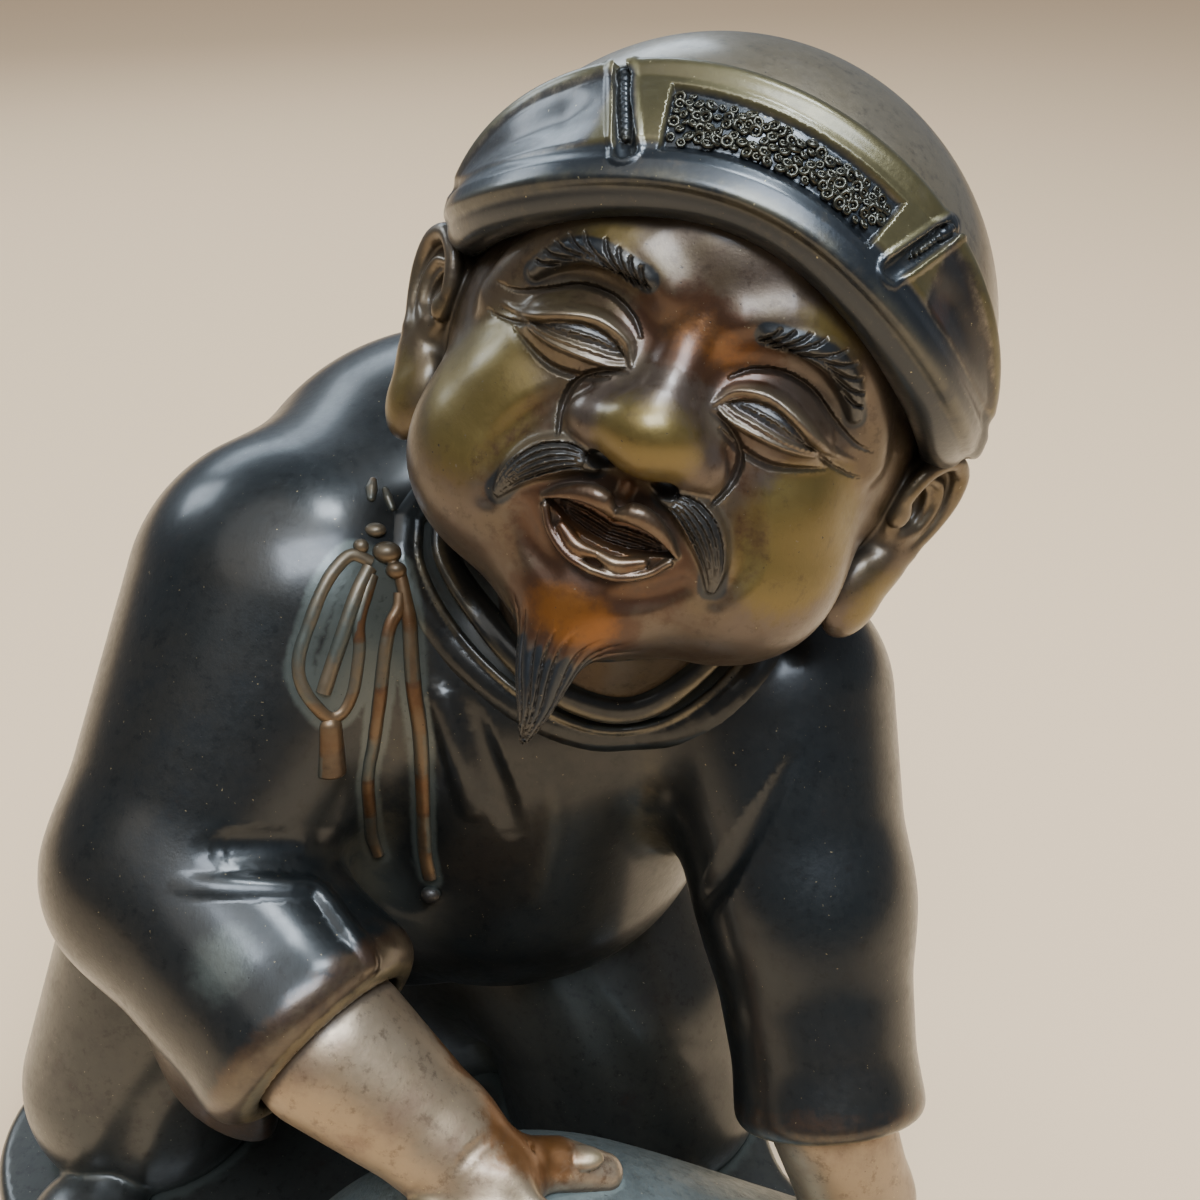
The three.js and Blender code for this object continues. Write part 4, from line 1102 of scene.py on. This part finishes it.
class Nodes:
    """Adds nodes to a tree and links them as they are made"""

    def __init__(self, tree):
        self.tree = tree

    def add(self, kind, inputs=(), out=0, **settings):
        node = self.tree.nodes.new(kind)
        for key, value in settings.items():
            setattr(node, key, value)
        for key, value in dict(inputs).items():
            if isinstance(value, bpy.types.NodeSocket):
                self.tree.links.new(value, node.inputs[key])
            else:
                node.inputs[key].default_value = value
        return node.outputs[out]


class Grower(Nodes):
    """A geometry node tree put together in order, with its named inputs"""

    def __init__(self, name, **inputs):
        super().__init__(bpy.data.node_groups.new(name, "GeometryNodeTree"))
        face = self.tree.interface
        face.new_socket("Geometry", in_out="INPUT", socket_type="NodeSocketGeometry")
        face.new_socket("Geometry", in_out="OUTPUT", socket_type="NodeSocketGeometry")
        kinds = {float: "NodeSocketFloat", int: "NodeSocketInt"}
        for label, value in inputs.items():
            socket = face.new_socket(label.replace("_", " ").title(), in_out="INPUT",
                                     socket_type=kinds.get(type(value), "NodeSocketMaterial"))
            if type(value) in kinds:
                socket.default_value = value
        self.given = self.tree.nodes.new("NodeGroupInput").outputs

    def end(self, geometry):
        """Closes the tree: instances made real, then the metal"""
        real = self.add("GeometryNodeRealizeInstances", {0: geometry})
        shaded = self.add("GeometryNodeSetMaterial", {"Geometry": real, "Material": self.given["Metal"]})
        last = self.tree.nodes.new("NodeGroupOutput")
        self.tree.links.new(shaded, last.inputs[0])
        return self.tree


def cord_tree():
    """Runs a worn round cord along a path"""
    g = Grower("cord_along_path", half_width=0.001, step=0.0006, wear=0.15, metal=None)
    path = g.add("GeometryNodeMeshToCurve", {0: g.given["Geometry"]})
    path = g.add("GeometryNodeResampleCurve", {"Curve": path, "Length": g.given["Step"]}, mode="LENGTH")
    noise = g.add("ShaderNodeTexNoise", {"Scale": 240.0, "Detail": 1.0})
    uneven = g.add("ShaderNodeMath", {0: noise, 1: 0.5}, operation="SUBTRACT")
    uneven = g.add("ShaderNodeMath", {0: uneven, 1: g.given["Wear"], 2: 1.0}, operation="MULTIPLY_ADD")
    ring_of = g.add("GeometryNodeCurvePrimitiveCircle", {"Resolution": 14, "Radius": g.given["Half Width"]})
    return g.end(g.add("GeometryNodeCurveToMesh", {
        "Curve": path, "Profile Curve": ring_of, "Fill Caps": True, "Scale": uneven}))


def pebble_tree():
    """Scatters beads, each a small ring with a dot in it, over a patch"""
    g = Grower("pebbles_on_patch", gap=0.00122, density=4000000.0, size=0.00096, seed=3, metal=None)
    spots = g.tree.nodes.new("GeometryNodeDistributePointsOnFaces")
    spots.distribute_method = "POISSON"
    for key, value in (("Mesh", g.given["Geometry"]), ("Distance Min", g.given["Gap"]),
                       ("Density Max", g.given["Density"]), ("Seed", g.given["Seed"])):
        g.tree.links.new(value, spots.inputs[key])
    circle = g.add("GeometryNodeCurvePrimitiveCircle", {"Resolution": 7, "Radius": 0.72})
    tube = g.add("GeometryNodeCurvePrimitiveCircle", {"Resolution": 5, "Radius": 0.34})
    bead = g.add("GeometryNodeCurveToMesh", {"Curve": circle, "Profile Curve": tube})
    dot = g.add("GeometryNodeMeshIcoSphere", {"Radius": 0.3, "Subdivisions": 1})
    both_parts = g.tree.nodes.new("GeometryNodeJoinGeometry")
    g.tree.links.new(bead, both_parts.inputs[0])
    g.tree.links.new(dot, both_parts.inputs[0])
    size = g.add("FunctionNodeRandomValue", {2: 0.7, 3: 1.15, "Seed": g.given["Seed"]}, 1, data_type="FLOAT")
    size = g.add("ShaderNodeMath", {0: size, 1: g.given["Size"]}, operation="MULTIPLY")
    beads = g.add("GeometryNodeInstanceOnPoints", {
        "Points": spots.outputs["Points"], "Instance": both_parts.outputs[0],
        "Rotation": spots.outputs["Rotation"], "Scale": size})
    turn = g.add("FunctionNodeRandomValue", {0: (-0.5, -0.5, -3.1), 1: (0.5, 0.5, 3.1), "Seed": 8},
                 0, data_type="FLOAT_VECTOR")
    beads = g.add("GeometryNodeRotateInstances", {"Instances": beads, "Rotation": turn})
    return g.end(beads)


PATCH_ACROSS, PATCH_UP = (-19, 21, 81), (0.27, 0.57, 46)  # from x to x; from share to share of upright
PATCH_SINK, PATCH_INSET = 0.95, 0.75


def panel_patch():
    """A sheet that lies on the floor of the cap's front panel, as points and quads"""
    across, up = np.linspace(*PATCH_ACROSS), np.linspace(*PATCH_UP)
    radius = CROWN_RADIUS + BAND_RISE - PATCH_SINK
    points, kept_at = [], {}
    quads = []
    for i, x in enumerate(across):
        for j, share in enumerate(up):
            tilt = share * math.pi / 2
            flat = math.sqrt(radius ** 2 - (x - CROWN[0]) ** 2)
            point = (x, CROWN[1] - flat * math.cos(tilt), CROWN[2] + flat * math.sin(tilt))
            if panel_inset(*(np.array([c]) for c in point))[0] > PATCH_INSET:
                kept_at[i, j] = len(points)
                points.append(point)
    for i, j in kept_at:
        corners = [(i, j), (i + 1, j), (i + 1, j + 1), (i, j + 1)]
        if all(corner in kept_at for corner in corners):
            quads.append([kept_at[corner] for corner in corners])
    m = Matrix.Translation(HEAD) @ turned_by(HEAD_TURN).to_4x4()
    return np.array([m @ Vector(point) for point in points]), np.array(quads)


# Looks

# Hollows and ridges are measured against the whole figure. The looks darken the hollows with painted shade
# on the face, cap, hands, cords and pebbles, and grey them with a dusting on the robe, trousers, ground and
# sack; the ridges take wear.
HOLLOW_REACHES = ((0.7, 0.35), (2.0, 0.4), (6.0, 0.18))
RIDGE_REACHES = ((0.9, 0.5), (2.5, 0.5))


def hollows_and_ridges(points, normals):
    """How deep in a hollow and how far out on a ridge each point lies, from 0 to 1"""
    hollow, ridge = np.zeros(len(points)), np.zeros(len(points))
    for reach, weight in HOLLOW_REACHES:
        hollow += weight * np.clip(1 - evaluated(nearest, points + normals * reach) / reach, 0, 1)
    for reach, weight in RIDGE_REACHES:
        ridge += weight * np.clip(1 + evaluated(nearest, points - normals * reach) / reach, 0, 1)
    return {"hollow": hollow, "ridge": ridge}


def head_places(points):
    return (points - np.array(HEAD)) @ np.array(turned_by(HEAD_TURN))


def blot(places, centre, radii):
    """1 at a centre, falling to 0 at the radii"""
    return bell(np.sqrt((((places - np.array(centre)) / np.array(radii)) ** 2).sum(1)))


def mirrored(places):
    """Places of the head brought over to its left half"""
    return places * np.where(places[:, :1] < 0, [-1, 1, 1], 1)


def most_of(*values):
    return np.clip(np.maximum.reduce(values), 0, 1)


def widened(rows, width, weight=1.0):
    """A drawn line with one width and height all along"""
    rows = eased(rows, 2)
    rows[:, 2] = width
    rows[:, 3] = weight
    return rows


def face_marks(points, normals):
    """Black hair, painted shade in the eye slits and the open mouth, orange brow and chin, brassy cheeks and
    nose
    """
    marks = hollows_and_ridges(points, normals)
    p = mirrored(head_places(points))
    u, z = p[:, 0], p[:, 2]
    front = ramp(-8, -16, p[:, 1])
    hair = nearness([widened(BROW, 2.9), widened(MOUSTACHE, 3.4)], u, z)
    # Painted shade: the eye slits and the open mouth are darkened through the dark mark
    openings = [ramp(-0.2, 0.7, lens(top, foot, u, z)) for top, foot in
                ((EYE_TOP, EYE_FOOT), (MOUTH_TOP, MOUTH_FOOT))]
    goatee = ramp(-30.5, -33, z + 0.9 * np.sin(2.2 * u)) * ramp(14, 10, u)
    marks["dark"] = front * most_of(
        0.95 * ramp(0.1, 0.6, hair), 0.6 * openings[0], 0.5 * openings[1], 1.3 * goatee)
    fold = nearness([widened(SMILE, 5)], u, z)
    between_brows = blot(head_places(points), (2, -31, 19), (17, 14, 10))
    marks["warm"] = front * most_of(
        0.85 * between_brows, 1.4 * blot(p, (0, -29, -25), (14, 14, 10)), 0.24 * fold,
        0.6 * blot(p, (3, -33, -15), (8, 8, 5)), 0.9 * blot(p, (3.4, -34, -7), (5, 6, 3)),
        0.9 * blot(p, (0, -30, -12), (22, 16, 18)))
    marks["gold"] = most_of(
        front * 1.8 * blot(p, (24, -21, -3), (14, 24, 18)), front * 1.5 * blot(p, (0, -38, 4), (11, 11, 9)),
        front * 0.8 * blot(p, (17, -28, 27), (10, 12, 6)), 0.8 * blot(p, (43, -2, -12), (10, 12, 12)))
    return marks


def cap_marks(points, normals):
    """Brassy band, black rim, panel floor and seams"""
    marks = hollows_and_ridges(points, normals)
    p = head_places(points)
    x, y, z = p.T
    s, q = behind(CREST_POINT, CREST_SLOPE)(x, y, z), -above_rim(x, y, z)
    side = np.abs(x - CAP_MIDDLE)
    band = ramp(1.2, -0.4, s)
    floor_of_panel = ramp(-0.4, 0.6, panel_inset(x, y, z))
    middle = ramp(27, 24, side)
    top, foot = (on_cap(point, CROWN_RADIUS) for point in (SEAM_TOP, SEAM_FOOT))
    seam = nearness([np.array([(*top[[0, 2]], 2.4, 1), (*foot[[0, 2]], 2.4, 1)])], side, z) * ramp(0, -8, y)
    rim_part = ramp(6.2, 4.4, q)
    flank = band * (1 - middle) * ramp(-2, -6, s) * (1 - rim_part)
    border = np.clip(middle + ramp(-5, -3, s), 0, 1) * (1 - floor_of_panel)
    marks["gold"] = band * border * (1 - rim_part) * (1 - np.clip(2 * seam, 0, 1))
    marks["dark"] = most_of(rim_part, floor_of_panel * band, 1.6 * seam, bell((s - 0.9) / 1.1), 0.6 * flank)
    marks["warm"] = most_of(flank * 0.5, 1.1 * flank * blot(p, (29, -26, 34), (5, 9, 8)))
    return marks


def plain_marks(points, normals):
    marks = hollows_and_ridges(points, normals)
    marks.update(dark=np.zeros(len(points)), warm=np.zeros(len(points)), gold=np.zeros(len(points)))
    return marks


def robe_marks(points, normals):
    """Bright hem edges, a painted brownish reflection in a band along each hem, and a grey dusting round the
    cords
    """
    marks = hollows_and_ridges(points, normals)
    marks["dark"] = np.zeros(len(points))
    hem_lines, hem_reflection_bands = [], []
    for hem_at, elbow in ((HEM_RIGHT, ELBOW_RIGHT), (HEM_LEFT, ELBOW_LEFT)):
        beyond = behind(hem_at, np.array(hem_at) - np.array(elbow))(*points.T)
        close = ramp(30, 24, np.linalg.norm(points - np.array(hem_at), axis=1))
        hem_lines.append(0.8 * bell((beyond + 0.5) / 1.1) * close)
        # Painted reflection: a brownish band along each hem, carried by the warm mark
        hem_reflection_bands.append(bell((beyond + 3) / 6) * close)
    marks["warm"] = most_of(
        0.5 * hem_reflection_bands[0], 0.3 * hem_reflection_bands[1], 0.5 * blot(points, (-80, -60, 60), (30, 30, 20)))
    marks["edge"] = most_of(*hem_lines)
    gap = distance_to(CORD_PATHS, points)
    trough = ramp(3.4, 1.4, gap) + 0.4 * ramp(9, 4, gap) * blot(points, (-40, -50, 160), (14, 20, 22))
    marks["gold"] = most_of(0.8 * blot(points, (-62, -84, 119), (10, 12, 10)), 0.9 * trough)
    return marks


def cord_marks(points, normals):
    """A grey dusting on the knot, the loop and the inner end, worn brown on the rest"""
    marks = hollows_and_ridges(points, normals)
    height, _ = slopes(ROBE_FIELD, points)
    grey = (blot(points, (-50, -52, 166), (8, 14, 17)) + blot(points, (-38, -36, 178), (12, 12, 10))
            + ramp(2.2, 1.6, distance_to([CORD_PATHS[3]], points)))
    marks["gold"] = most_of(1.6 * grey, ramp(0.98, 0.6, height))
    marks["dark"] = 1.3 * blot(points, (-32, -53.5, 106), (5, 5, 9))
    marks["warm"] = 0.9 * ramp(0.1, 0.5, np.sin(0.35 * points[:, 2]) * 0.5 + 0.3) * ramp(0.5, 0.1, grey)
    return marks


def hand_marks(points, normals):
    marks = plain_marks(points, normals)
    marks["warm"] = most_of(
        0.8 * blot(points, (-14, -88, 82), (18, 16, 16)), 0.8 * blot(points, (-24, -76, 92), (12, 14, 18)),
        0.8 * blot(points, (-4, -86, 70), (9, 7, 6)))
    return marks


class Paint(Nodes):
    """A material's nodes: sums, mixes, noise and the marks kept on a piece"""

    def math(self, operation, a, b=0.0, clamp=False):
        return self.add("ShaderNodeMath", {0: a, 1: b}, operation=operation, use_clamp=clamp)

    def mix(self, factor, a, b):
        values = {0: factor, 6: a, 7: b}
        for key in (6, 7):
            if not isinstance(values[key], bpy.types.NodeSocket):
                values[key] = (*values[key], 1)
        return self.add("ShaderNodeMix", values, 2, data_type="RGBA")

    def noise(self, where, scale, detail=3.0, roughness=0.55):
        return self.add("ShaderNodeTexNoise", {"Vector": where, "Scale": scale, "Detail": detail,
                                               "Roughness": roughness})

    def mark(self, name):
        return self.add("ShaderNodeAttribute", out=2, attribute_name=name)

    def levels(self, value, low, high):
        return self.add("ShaderNodeMapRange", {0: value, 1: low, 2: high}, interpolation_type="SMOOTHSTEP")


# Patterns in the metal, in waves to a metre, from clouds to specks
CLOUDS, PATCHES, MOTTLES, GRAINS, SPECKS, SCRATCHES = 22, 90, 420, 700, 1500, 1600
PITS, DENTS = 420.0, 240


def darkened(colour, share):
    return tuple(share * c for c in colour)


def patina(name, tones, dark, warm, gold, hollow_dust_and_shade, shine, roughness, coat=0.5, hollow_dust_and_shade_share=0.6, rough_skin=0.0,
           coat_roughness=0.22, metallic=0.72, ruddy=(0.1, 0.04, 0.02)):
    """Aged bronze: cloudy tones, stains from the marks, painted shade in hollows on some pieces and a grey
    dusting on others, rubbed metal on ridges
    """
    material = bpy.data.materials.new(name)
    material.use_nodes = True
    n = Paint(material.node_tree)
    shader = material.node_tree.nodes["Principled BSDF"]
    where = n.add("ShaderNodeTexCoord", out=3)
    cloud = n.noise(where, CLOUDS, 4, 0.6)
    patch = n.noise(where, PATCHES, 5, 0.65)
    grain = n.noise(where, GRAINS, 3, 0.6)
    speck = n.noise(where, SPECKS, 2, 0.5)
    streak_place = n.add("ShaderNodeMapping", {0: where, 2: (0.5, 0.3, 0.4), 3: (1, 0.12, 1)})
    scratch = n.noise(streak_place, SCRATCHES, 2, 0.7)
    hollow, ridge = n.mark("hollow"), n.mark("ridge")
    colour = n.mix(n.levels(cloud, 0.38, 0.62), tones[0], tones[1])
    colour = n.mix(n.levels(patch, 0.45, 0.75), colour, tones[2])
    mottle = n.noise(where, MOTTLES, 5, 0.72)
    colour = n.mix(n.math("MULTIPLY", n.levels(mottle, 0.5, 0.7), 0.5), colour, darkened(tones[2], 0.55))
    ragged = n.math("ADD", n.math("MULTIPLY", patch, 0.6), n.math("MULTIPLY", mottle, 0.55))
    ragged = n.math("SUBTRACT", ragged, 0.575)
    for mark, paint, low, high in (("gold", gold, 0.12, 0.72), ("warm", ruddy, 0.1, 0.45),
                                   ("warm", warm, 0.5, 0.95), ("dark", dark, 0.12, 0.85),
                                   ("edge", shine, 0.4, 0.8)):
        edge = n.math("ADD", n.mark(mark), ragged)
        colour = n.mix(n.levels(edge, low, high), colour, paint)
    rubbed = n.math("MULTIPLY", n.levels(ridge, 0.12, 0.5), n.levels(patch, 0.35, 0.6))
    rubbed = n.math("MULTIPLY", rubbed, n.levels(n.mark("dark"), 1.5, 0.1))
    colour = n.mix(n.math("MULTIPLY", n.levels(mottle, 0.54, 0.72), 0.3), colour, darkened(tones[2], 0.5))
    colour = n.mix(n.math("MULTIPLY", rubbed, 0.65), colour, shine)
    # Painted shade in hollows where the hollow colour is darker than the metal, a grey dusting where it is
    # lighter
    deep = n.levels(n.math("ADD", hollow, n.math("MULTIPLY", grain, 0.12)), 0.22, 0.62)
    colour = n.mix(n.math("MULTIPLY", deep, hollow_dust_and_shade_share), colour, hollow_dust_and_shade)
    colour = n.mix(n.levels(speck, 0.72, 0.78), colour, darkened(tones[0], 0.35))
    colour = n.mix(n.levels(speck, 0.262, 0.235), colour, shine)
    dull = n.math("MULTIPLY_ADD", grain, 0.22)
    dull.node.inputs[2].default_value = roughness - 0.11
    dull = n.math("ADD", dull, n.math("MULTIPLY", deep, 0.3))
    dull = n.math("ADD", dull, n.math("MULTIPLY", n.levels(patch, 0.4, 0.7), 0.1))
    dull = n.math("SUBTRACT", dull, n.math("MULTIPLY", rubbed, 0.1), clamp=True)
    relief = n.math("ADD", n.math("MULTIPLY", grain, 0.5), n.math("MULTIPLY", scratch, 0.6))
    relief = n.math("ADD", relief, n.math("MULTIPLY", mottle, 0.6))
    relief = n.math("ADD", relief, n.math("MULTIPLY", n.levels(speck, 0.72, 0.8), -0.8))
    if rough_skin:
        pits = n.add("ShaderNodeTexVoronoi", {"Vector": where, "Scale": PITS})
        relief = n.math("ADD", relief, n.math("MULTIPLY", pits, rough_skin))
        relief = n.math("ADD", relief, n.math("MULTIPLY", n.noise(where, DENTS, 4, 0.7), rough_skin))
    bump = n.add("ShaderNodeBump", {
        "Height": relief, "Strength": 0.35, "Distance": 0.00012 + 0.0004 * rough_skin})
    links = material.node_tree.links
    links.new(colour, shader.inputs["Base Color"])
    links.new(dull, shader.inputs["Roughness"])
    links.new(bump, shader.inputs["Normal"])
    shader.inputs["Metallic"].default_value = metallic
    shader.inputs["Coat Weight"].default_value = coat
    shader.inputs["Coat Roughness"].default_value = coat_roughness
    return material


TAUPE, OLIVE, UMBER = (0.095, 0.07, 0.054), (0.1, 0.072, 0.034), (0.07, 0.042, 0.024)
GOLD, ORANGE, RED_BROWN = (0.145, 0.103, 0.028), (0.19, 0.068, 0.007), (0.09, 0.036, 0.018)
BLUE_BLACK, BRIGHT = (0.02, 0.0245, 0.029), (0.5, 0.4, 0.2)


def skin_look():
    # The hollow colour (0.03, 0.024, 0.018) is painted shade
    return patina("face_bronze", (TAUPE, OLIVE, UMBER), BLUE_BLACK, ORANGE, GOLD,
                  (0.03, 0.024, 0.018), (0.17, 0.135, 0.085), 0.38, 0.5, 0.6,
                  coat_roughness=0.24, ruddy=(0.065, 0.028, 0.012))


def cap_look():
    # The hollow colour (0.02, 0.02, 0.018) is painted shade
    return patina("cap_bronze", ((0.2, 0.17, 0.125), (0.19, 0.155, 0.1), (0.15, 0.125, 0.09)),
                  BLUE_BLACK, RED_BROWN, (0.095, 0.08, 0.034), (0.02, 0.02, 0.018),
                  (0.32, 0.28, 0.16), 0.36, 0.6, 0.6, coat_roughness=0.2, ruddy=(0.03, 0.019, 0.012))


def robe_look():
    return patina("robe_bronze", ((0.012, 0.015, 0.016), (0.02, 0.019, 0.016), (0.008, 0.01, 0.011)),
                  BLUE_BLACK, (0.1, 0.045, 0.02), (0.07, 0.08, 0.07), (0.05, 0.058, 0.052),
                  (0.2, 0.16, 0.09), 0.34, 0.5, 0.55, coat_roughness=0.19, metallic=0.55,
                  ruddy=(0.05, 0.028, 0.016))


def cord_look():
    # The hollow colour (0.04, 0.045, 0.037) is painted shade
    return patina("cord_bronze", ((0.085, 0.052, 0.028), (0.08, 0.054, 0.032), (0.06, 0.044, 0.03)),
                  BLUE_BLACK, (0.12, 0.057, 0.022), (0.075, 0.083, 0.07), (0.04, 0.045, 0.037),
                  (0.16, 0.11, 0.06), 0.48, 0.25, 0.85, ruddy=(0.08, 0.042, 0.022))


def bead_look():
    # The hollow colour (0.01, 0.01, 0.01) is painted shade
    return patina("bead_bronze", ((0.03, 0.03, 0.022), (0.05, 0.045, 0.026), (0.02, 0.02, 0.02)),
                  BLUE_BLACK, UMBER, OLIVE, (0.01, 0.01, 0.01), (0.05, 0.05, 0.035), 0.3, 0.35, 0.9)


def hands_look():
    # The hollow colour (0.08, 0.06, 0.045) is painted shade
    return patina("hand_bronze", ((0.37, 0.29, 0.2), (0.32, 0.235, 0.145), (0.23, 0.155, 0.1)),
                  BLUE_BLACK, ORANGE, GOLD, (0.08, 0.06, 0.045), BRIGHT, 0.4, 0.4, 0.7,
                  coat_roughness=0.28, ruddy=(0.2, 0.09, 0.03))


def trousers_look():
    return patina("trouser_bronze", ((0.035, 0.037, 0.034), (0.045, 0.044, 0.036), (0.026, 0.025, 0.023)),
                  BLUE_BLACK, UMBER, OLIVE, (0.06, 0.07, 0.06), (0.17, 0.16, 0.11), 0.36, 0.6,
                  coat_roughness=0.24, metallic=0.5)


def sack_look():
    return patina("sack_bronze", ((0.19, 0.225, 0.22), (0.21, 0.235, 0.21), (0.12, 0.14, 0.135)),
                  BLUE_BLACK, UMBER, OLIVE, (0.24, 0.28, 0.26), (0.36, 0.36, 0.3), 0.5, 0.2, 0.7, 1.0)


ROUGHER = 1.0


def make_pieces():
    """Each cast piece has its field, two corners of its grid, the grid's step and the most triangles"""
    skin, cap_metal, cloth = skin_look(), cap_look(), robe_look()
    lower = trousers_look()
    face_piece = cast("face", joined(3, HEAD_FIELD, NECK_FIELD), (-42, -100, 118), (66, -2, 246),
                      0.4 * ROUGHER, 190000, face_marks, skin)
    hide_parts("figure")
    cast("cap", CAP_FIELD, (-50, -100, 150), (70, 25, 262), 0.42 * ROUGHER, 180000, cap_marks, cap_metal)
    cast("robe", ROBE_FIELD, (-135, -112, 30), (70, 75, 196), 1.0 * ROUGHER, 190000, robe_marks, cloth)
    cast("collar", COLLAR_FIELD, (-45, -85, 125), (48, 0, 195), 0.5 * ROUGHER, 60000, robe_marks, cloth)
    cast("hands", ARMS_FIELD, (-95, -130, 25), (75, -40, 130), 0.8 * ROUGHER, 100000, hand_marks,
         hands_look())
    cast("trousers", LEGS_FIELD, (-145, -75, 4), (55, 85, 125), 1.2 * ROUGHER, 90000, plain_marks, lower)
    cast("sack", SACK_FIELD, (-75, -142, 0), (102, -45, 78), 0.9 * ROUGHER, 110000, plain_marks, sack_look())
    cast("ground", ground, (-150, -155, -3), (92, 82, 12), 1.5 * ROUGHER, 30000, plain_marks, lower)
    cord_metal, tree = cord_look(), cord_tree()
    for name, path, half_width in CORDS:
        points = settled(ROBE_FIELD, eased(path, 4), 3)
        points -= slopes(ROBE_FIELD, points)[1] * CORD_SINK
        settings = {"Half Width": half_width * MM, "Metal": cord_metal}
        grown(name, points, None, tree, settings, cord_marks, cord_metal)
    cast("bow", bow(), (-56, -66, 98), (-26, -26, 190), 0.35 * ROUGHER, 30000, cord_marks, cord_metal)
    bead_metal = bead_look()
    grown("cap_pebbles", *panel_patch(), pebble_tree(), {"Metal": bead_metal}, plain_marks, bead_metal)


make_pieces()

# Floor, light and camera


FLOOR_COLOUR = (0.84, 0.6, 0.37, 1)
FLOOR_HALF = 3


def floor():
    corners = [(-1, -1, 0), (1, -1, 0), (1, 1, 0), (-1, 1, 0)]
    mesh = mesh_from("floor", FLOOR_HALF * np.array(corners, float), np.array([(0, 1, 2, 3)]))
    plane = linked("floor", mesh)
    material = bpy.data.materials.new("pale_floor")
    material.use_nodes = True
    shader = material.node_tree.nodes["Principled BSDF"]
    shader.inputs["Base Color"].default_value = FLOOR_COLOUR
    shader.inputs["Roughness"].default_value = 0.9
    plane.data.materials.append(material)


def lamp(light, place=(0, 0, 0), turns=(0, 0, 0)):
    hung = bpy.data.objects.new(light.name, light)
    bpy.context.scene.collection.objects.link(hung)
    hung.location, hung.rotation_euler = place, turns


def softbox(name, place, target, size, watts, colour):
    light = bpy.data.lights.new(name, "AREA")
    light.shape, light.energy, light.color = "RECTANGLE", watts, colour
    light.size, light.size_y = size
    lamp(light, place, (Vector(target) - Vector(place)).to_track_quat("-Z", "Y").to_euler())


def daylight(turns, strength, spread, colour):
    light = bpy.data.lights.new("daylight", "SUN")
    light.energy, light.angle, light.color = strength, math.radians(spread), colour
    lamp(light, turns=[math.radians(t) for t in turns])


WORLD_COLOUR, WORLD_STRENGTH = (0.8, 0.88, 1, 1), 0.2
DAYLIGHT = ((22, -16, 0), 1.0, 60, (1, 0.95, 0.88))  # turns, strength, spread and colour
SOFTBOXES = (  # name, place, target, size, watts and colour
    ("window", (-0.4, 1.2, 0.85), (0, 0, 0.12), (1.1, 0.4), 6, (0.74, 0.87, 1)),
    ("sky", (0.25, -0.65, 1.3), (0, 0, 0.15), (0.9, 0.5), 27, (0.76, 0.86, 1)),
    ("ceiling", (0.4, 0.08, 1.4), (0, 0, 0.15), (0.25, 0.4), 14, (0.8, 0.9, 1)),
    ("side", (-1.1, 0.7, 0.95), (0, 0, 0.15), (0.35, 0.5), 5, (0.78, 0.89, 1)))


def studio():
    world = bpy.data.worlds.new("studio")
    bpy.context.scene.world = world
    world.use_nodes = True
    background = world.node_tree.nodes["Background"]
    background.inputs["Color"].default_value = WORLD_COLOUR
    background.inputs["Strength"].default_value = WORLD_STRENGTH
    daylight(*DAYLIGHT)
    for box in SOFTBOXES:
        softbox(*box)


VIEW_PLACE = (0.0, -260.0, 290.0)
VIEW_DOWN = 30.0
VIEW_HALF = 0.42  # tangent of half the frame


def camera():
    lens = bpy.data.cameras.new("camera")
    lens.sensor_width = 36
    lens.lens = lens.sensor_width / 2 / VIEW_HALF
    lens.clip_start, lens.clip_end = 0.01, 20
    eye = bpy.data.objects.new("camera", lens)
    bpy.context.scene.collection.objects.link(eye)
    eye.location = (Vector(VIEW_PLACE) - Vector(CENTRE)) * MM
    eye.rotation_euler = (math.radians(90 - VIEW_DOWN), 0, 0)
    bpy.context.scene.camera = eye


floor()
studio()
camera()
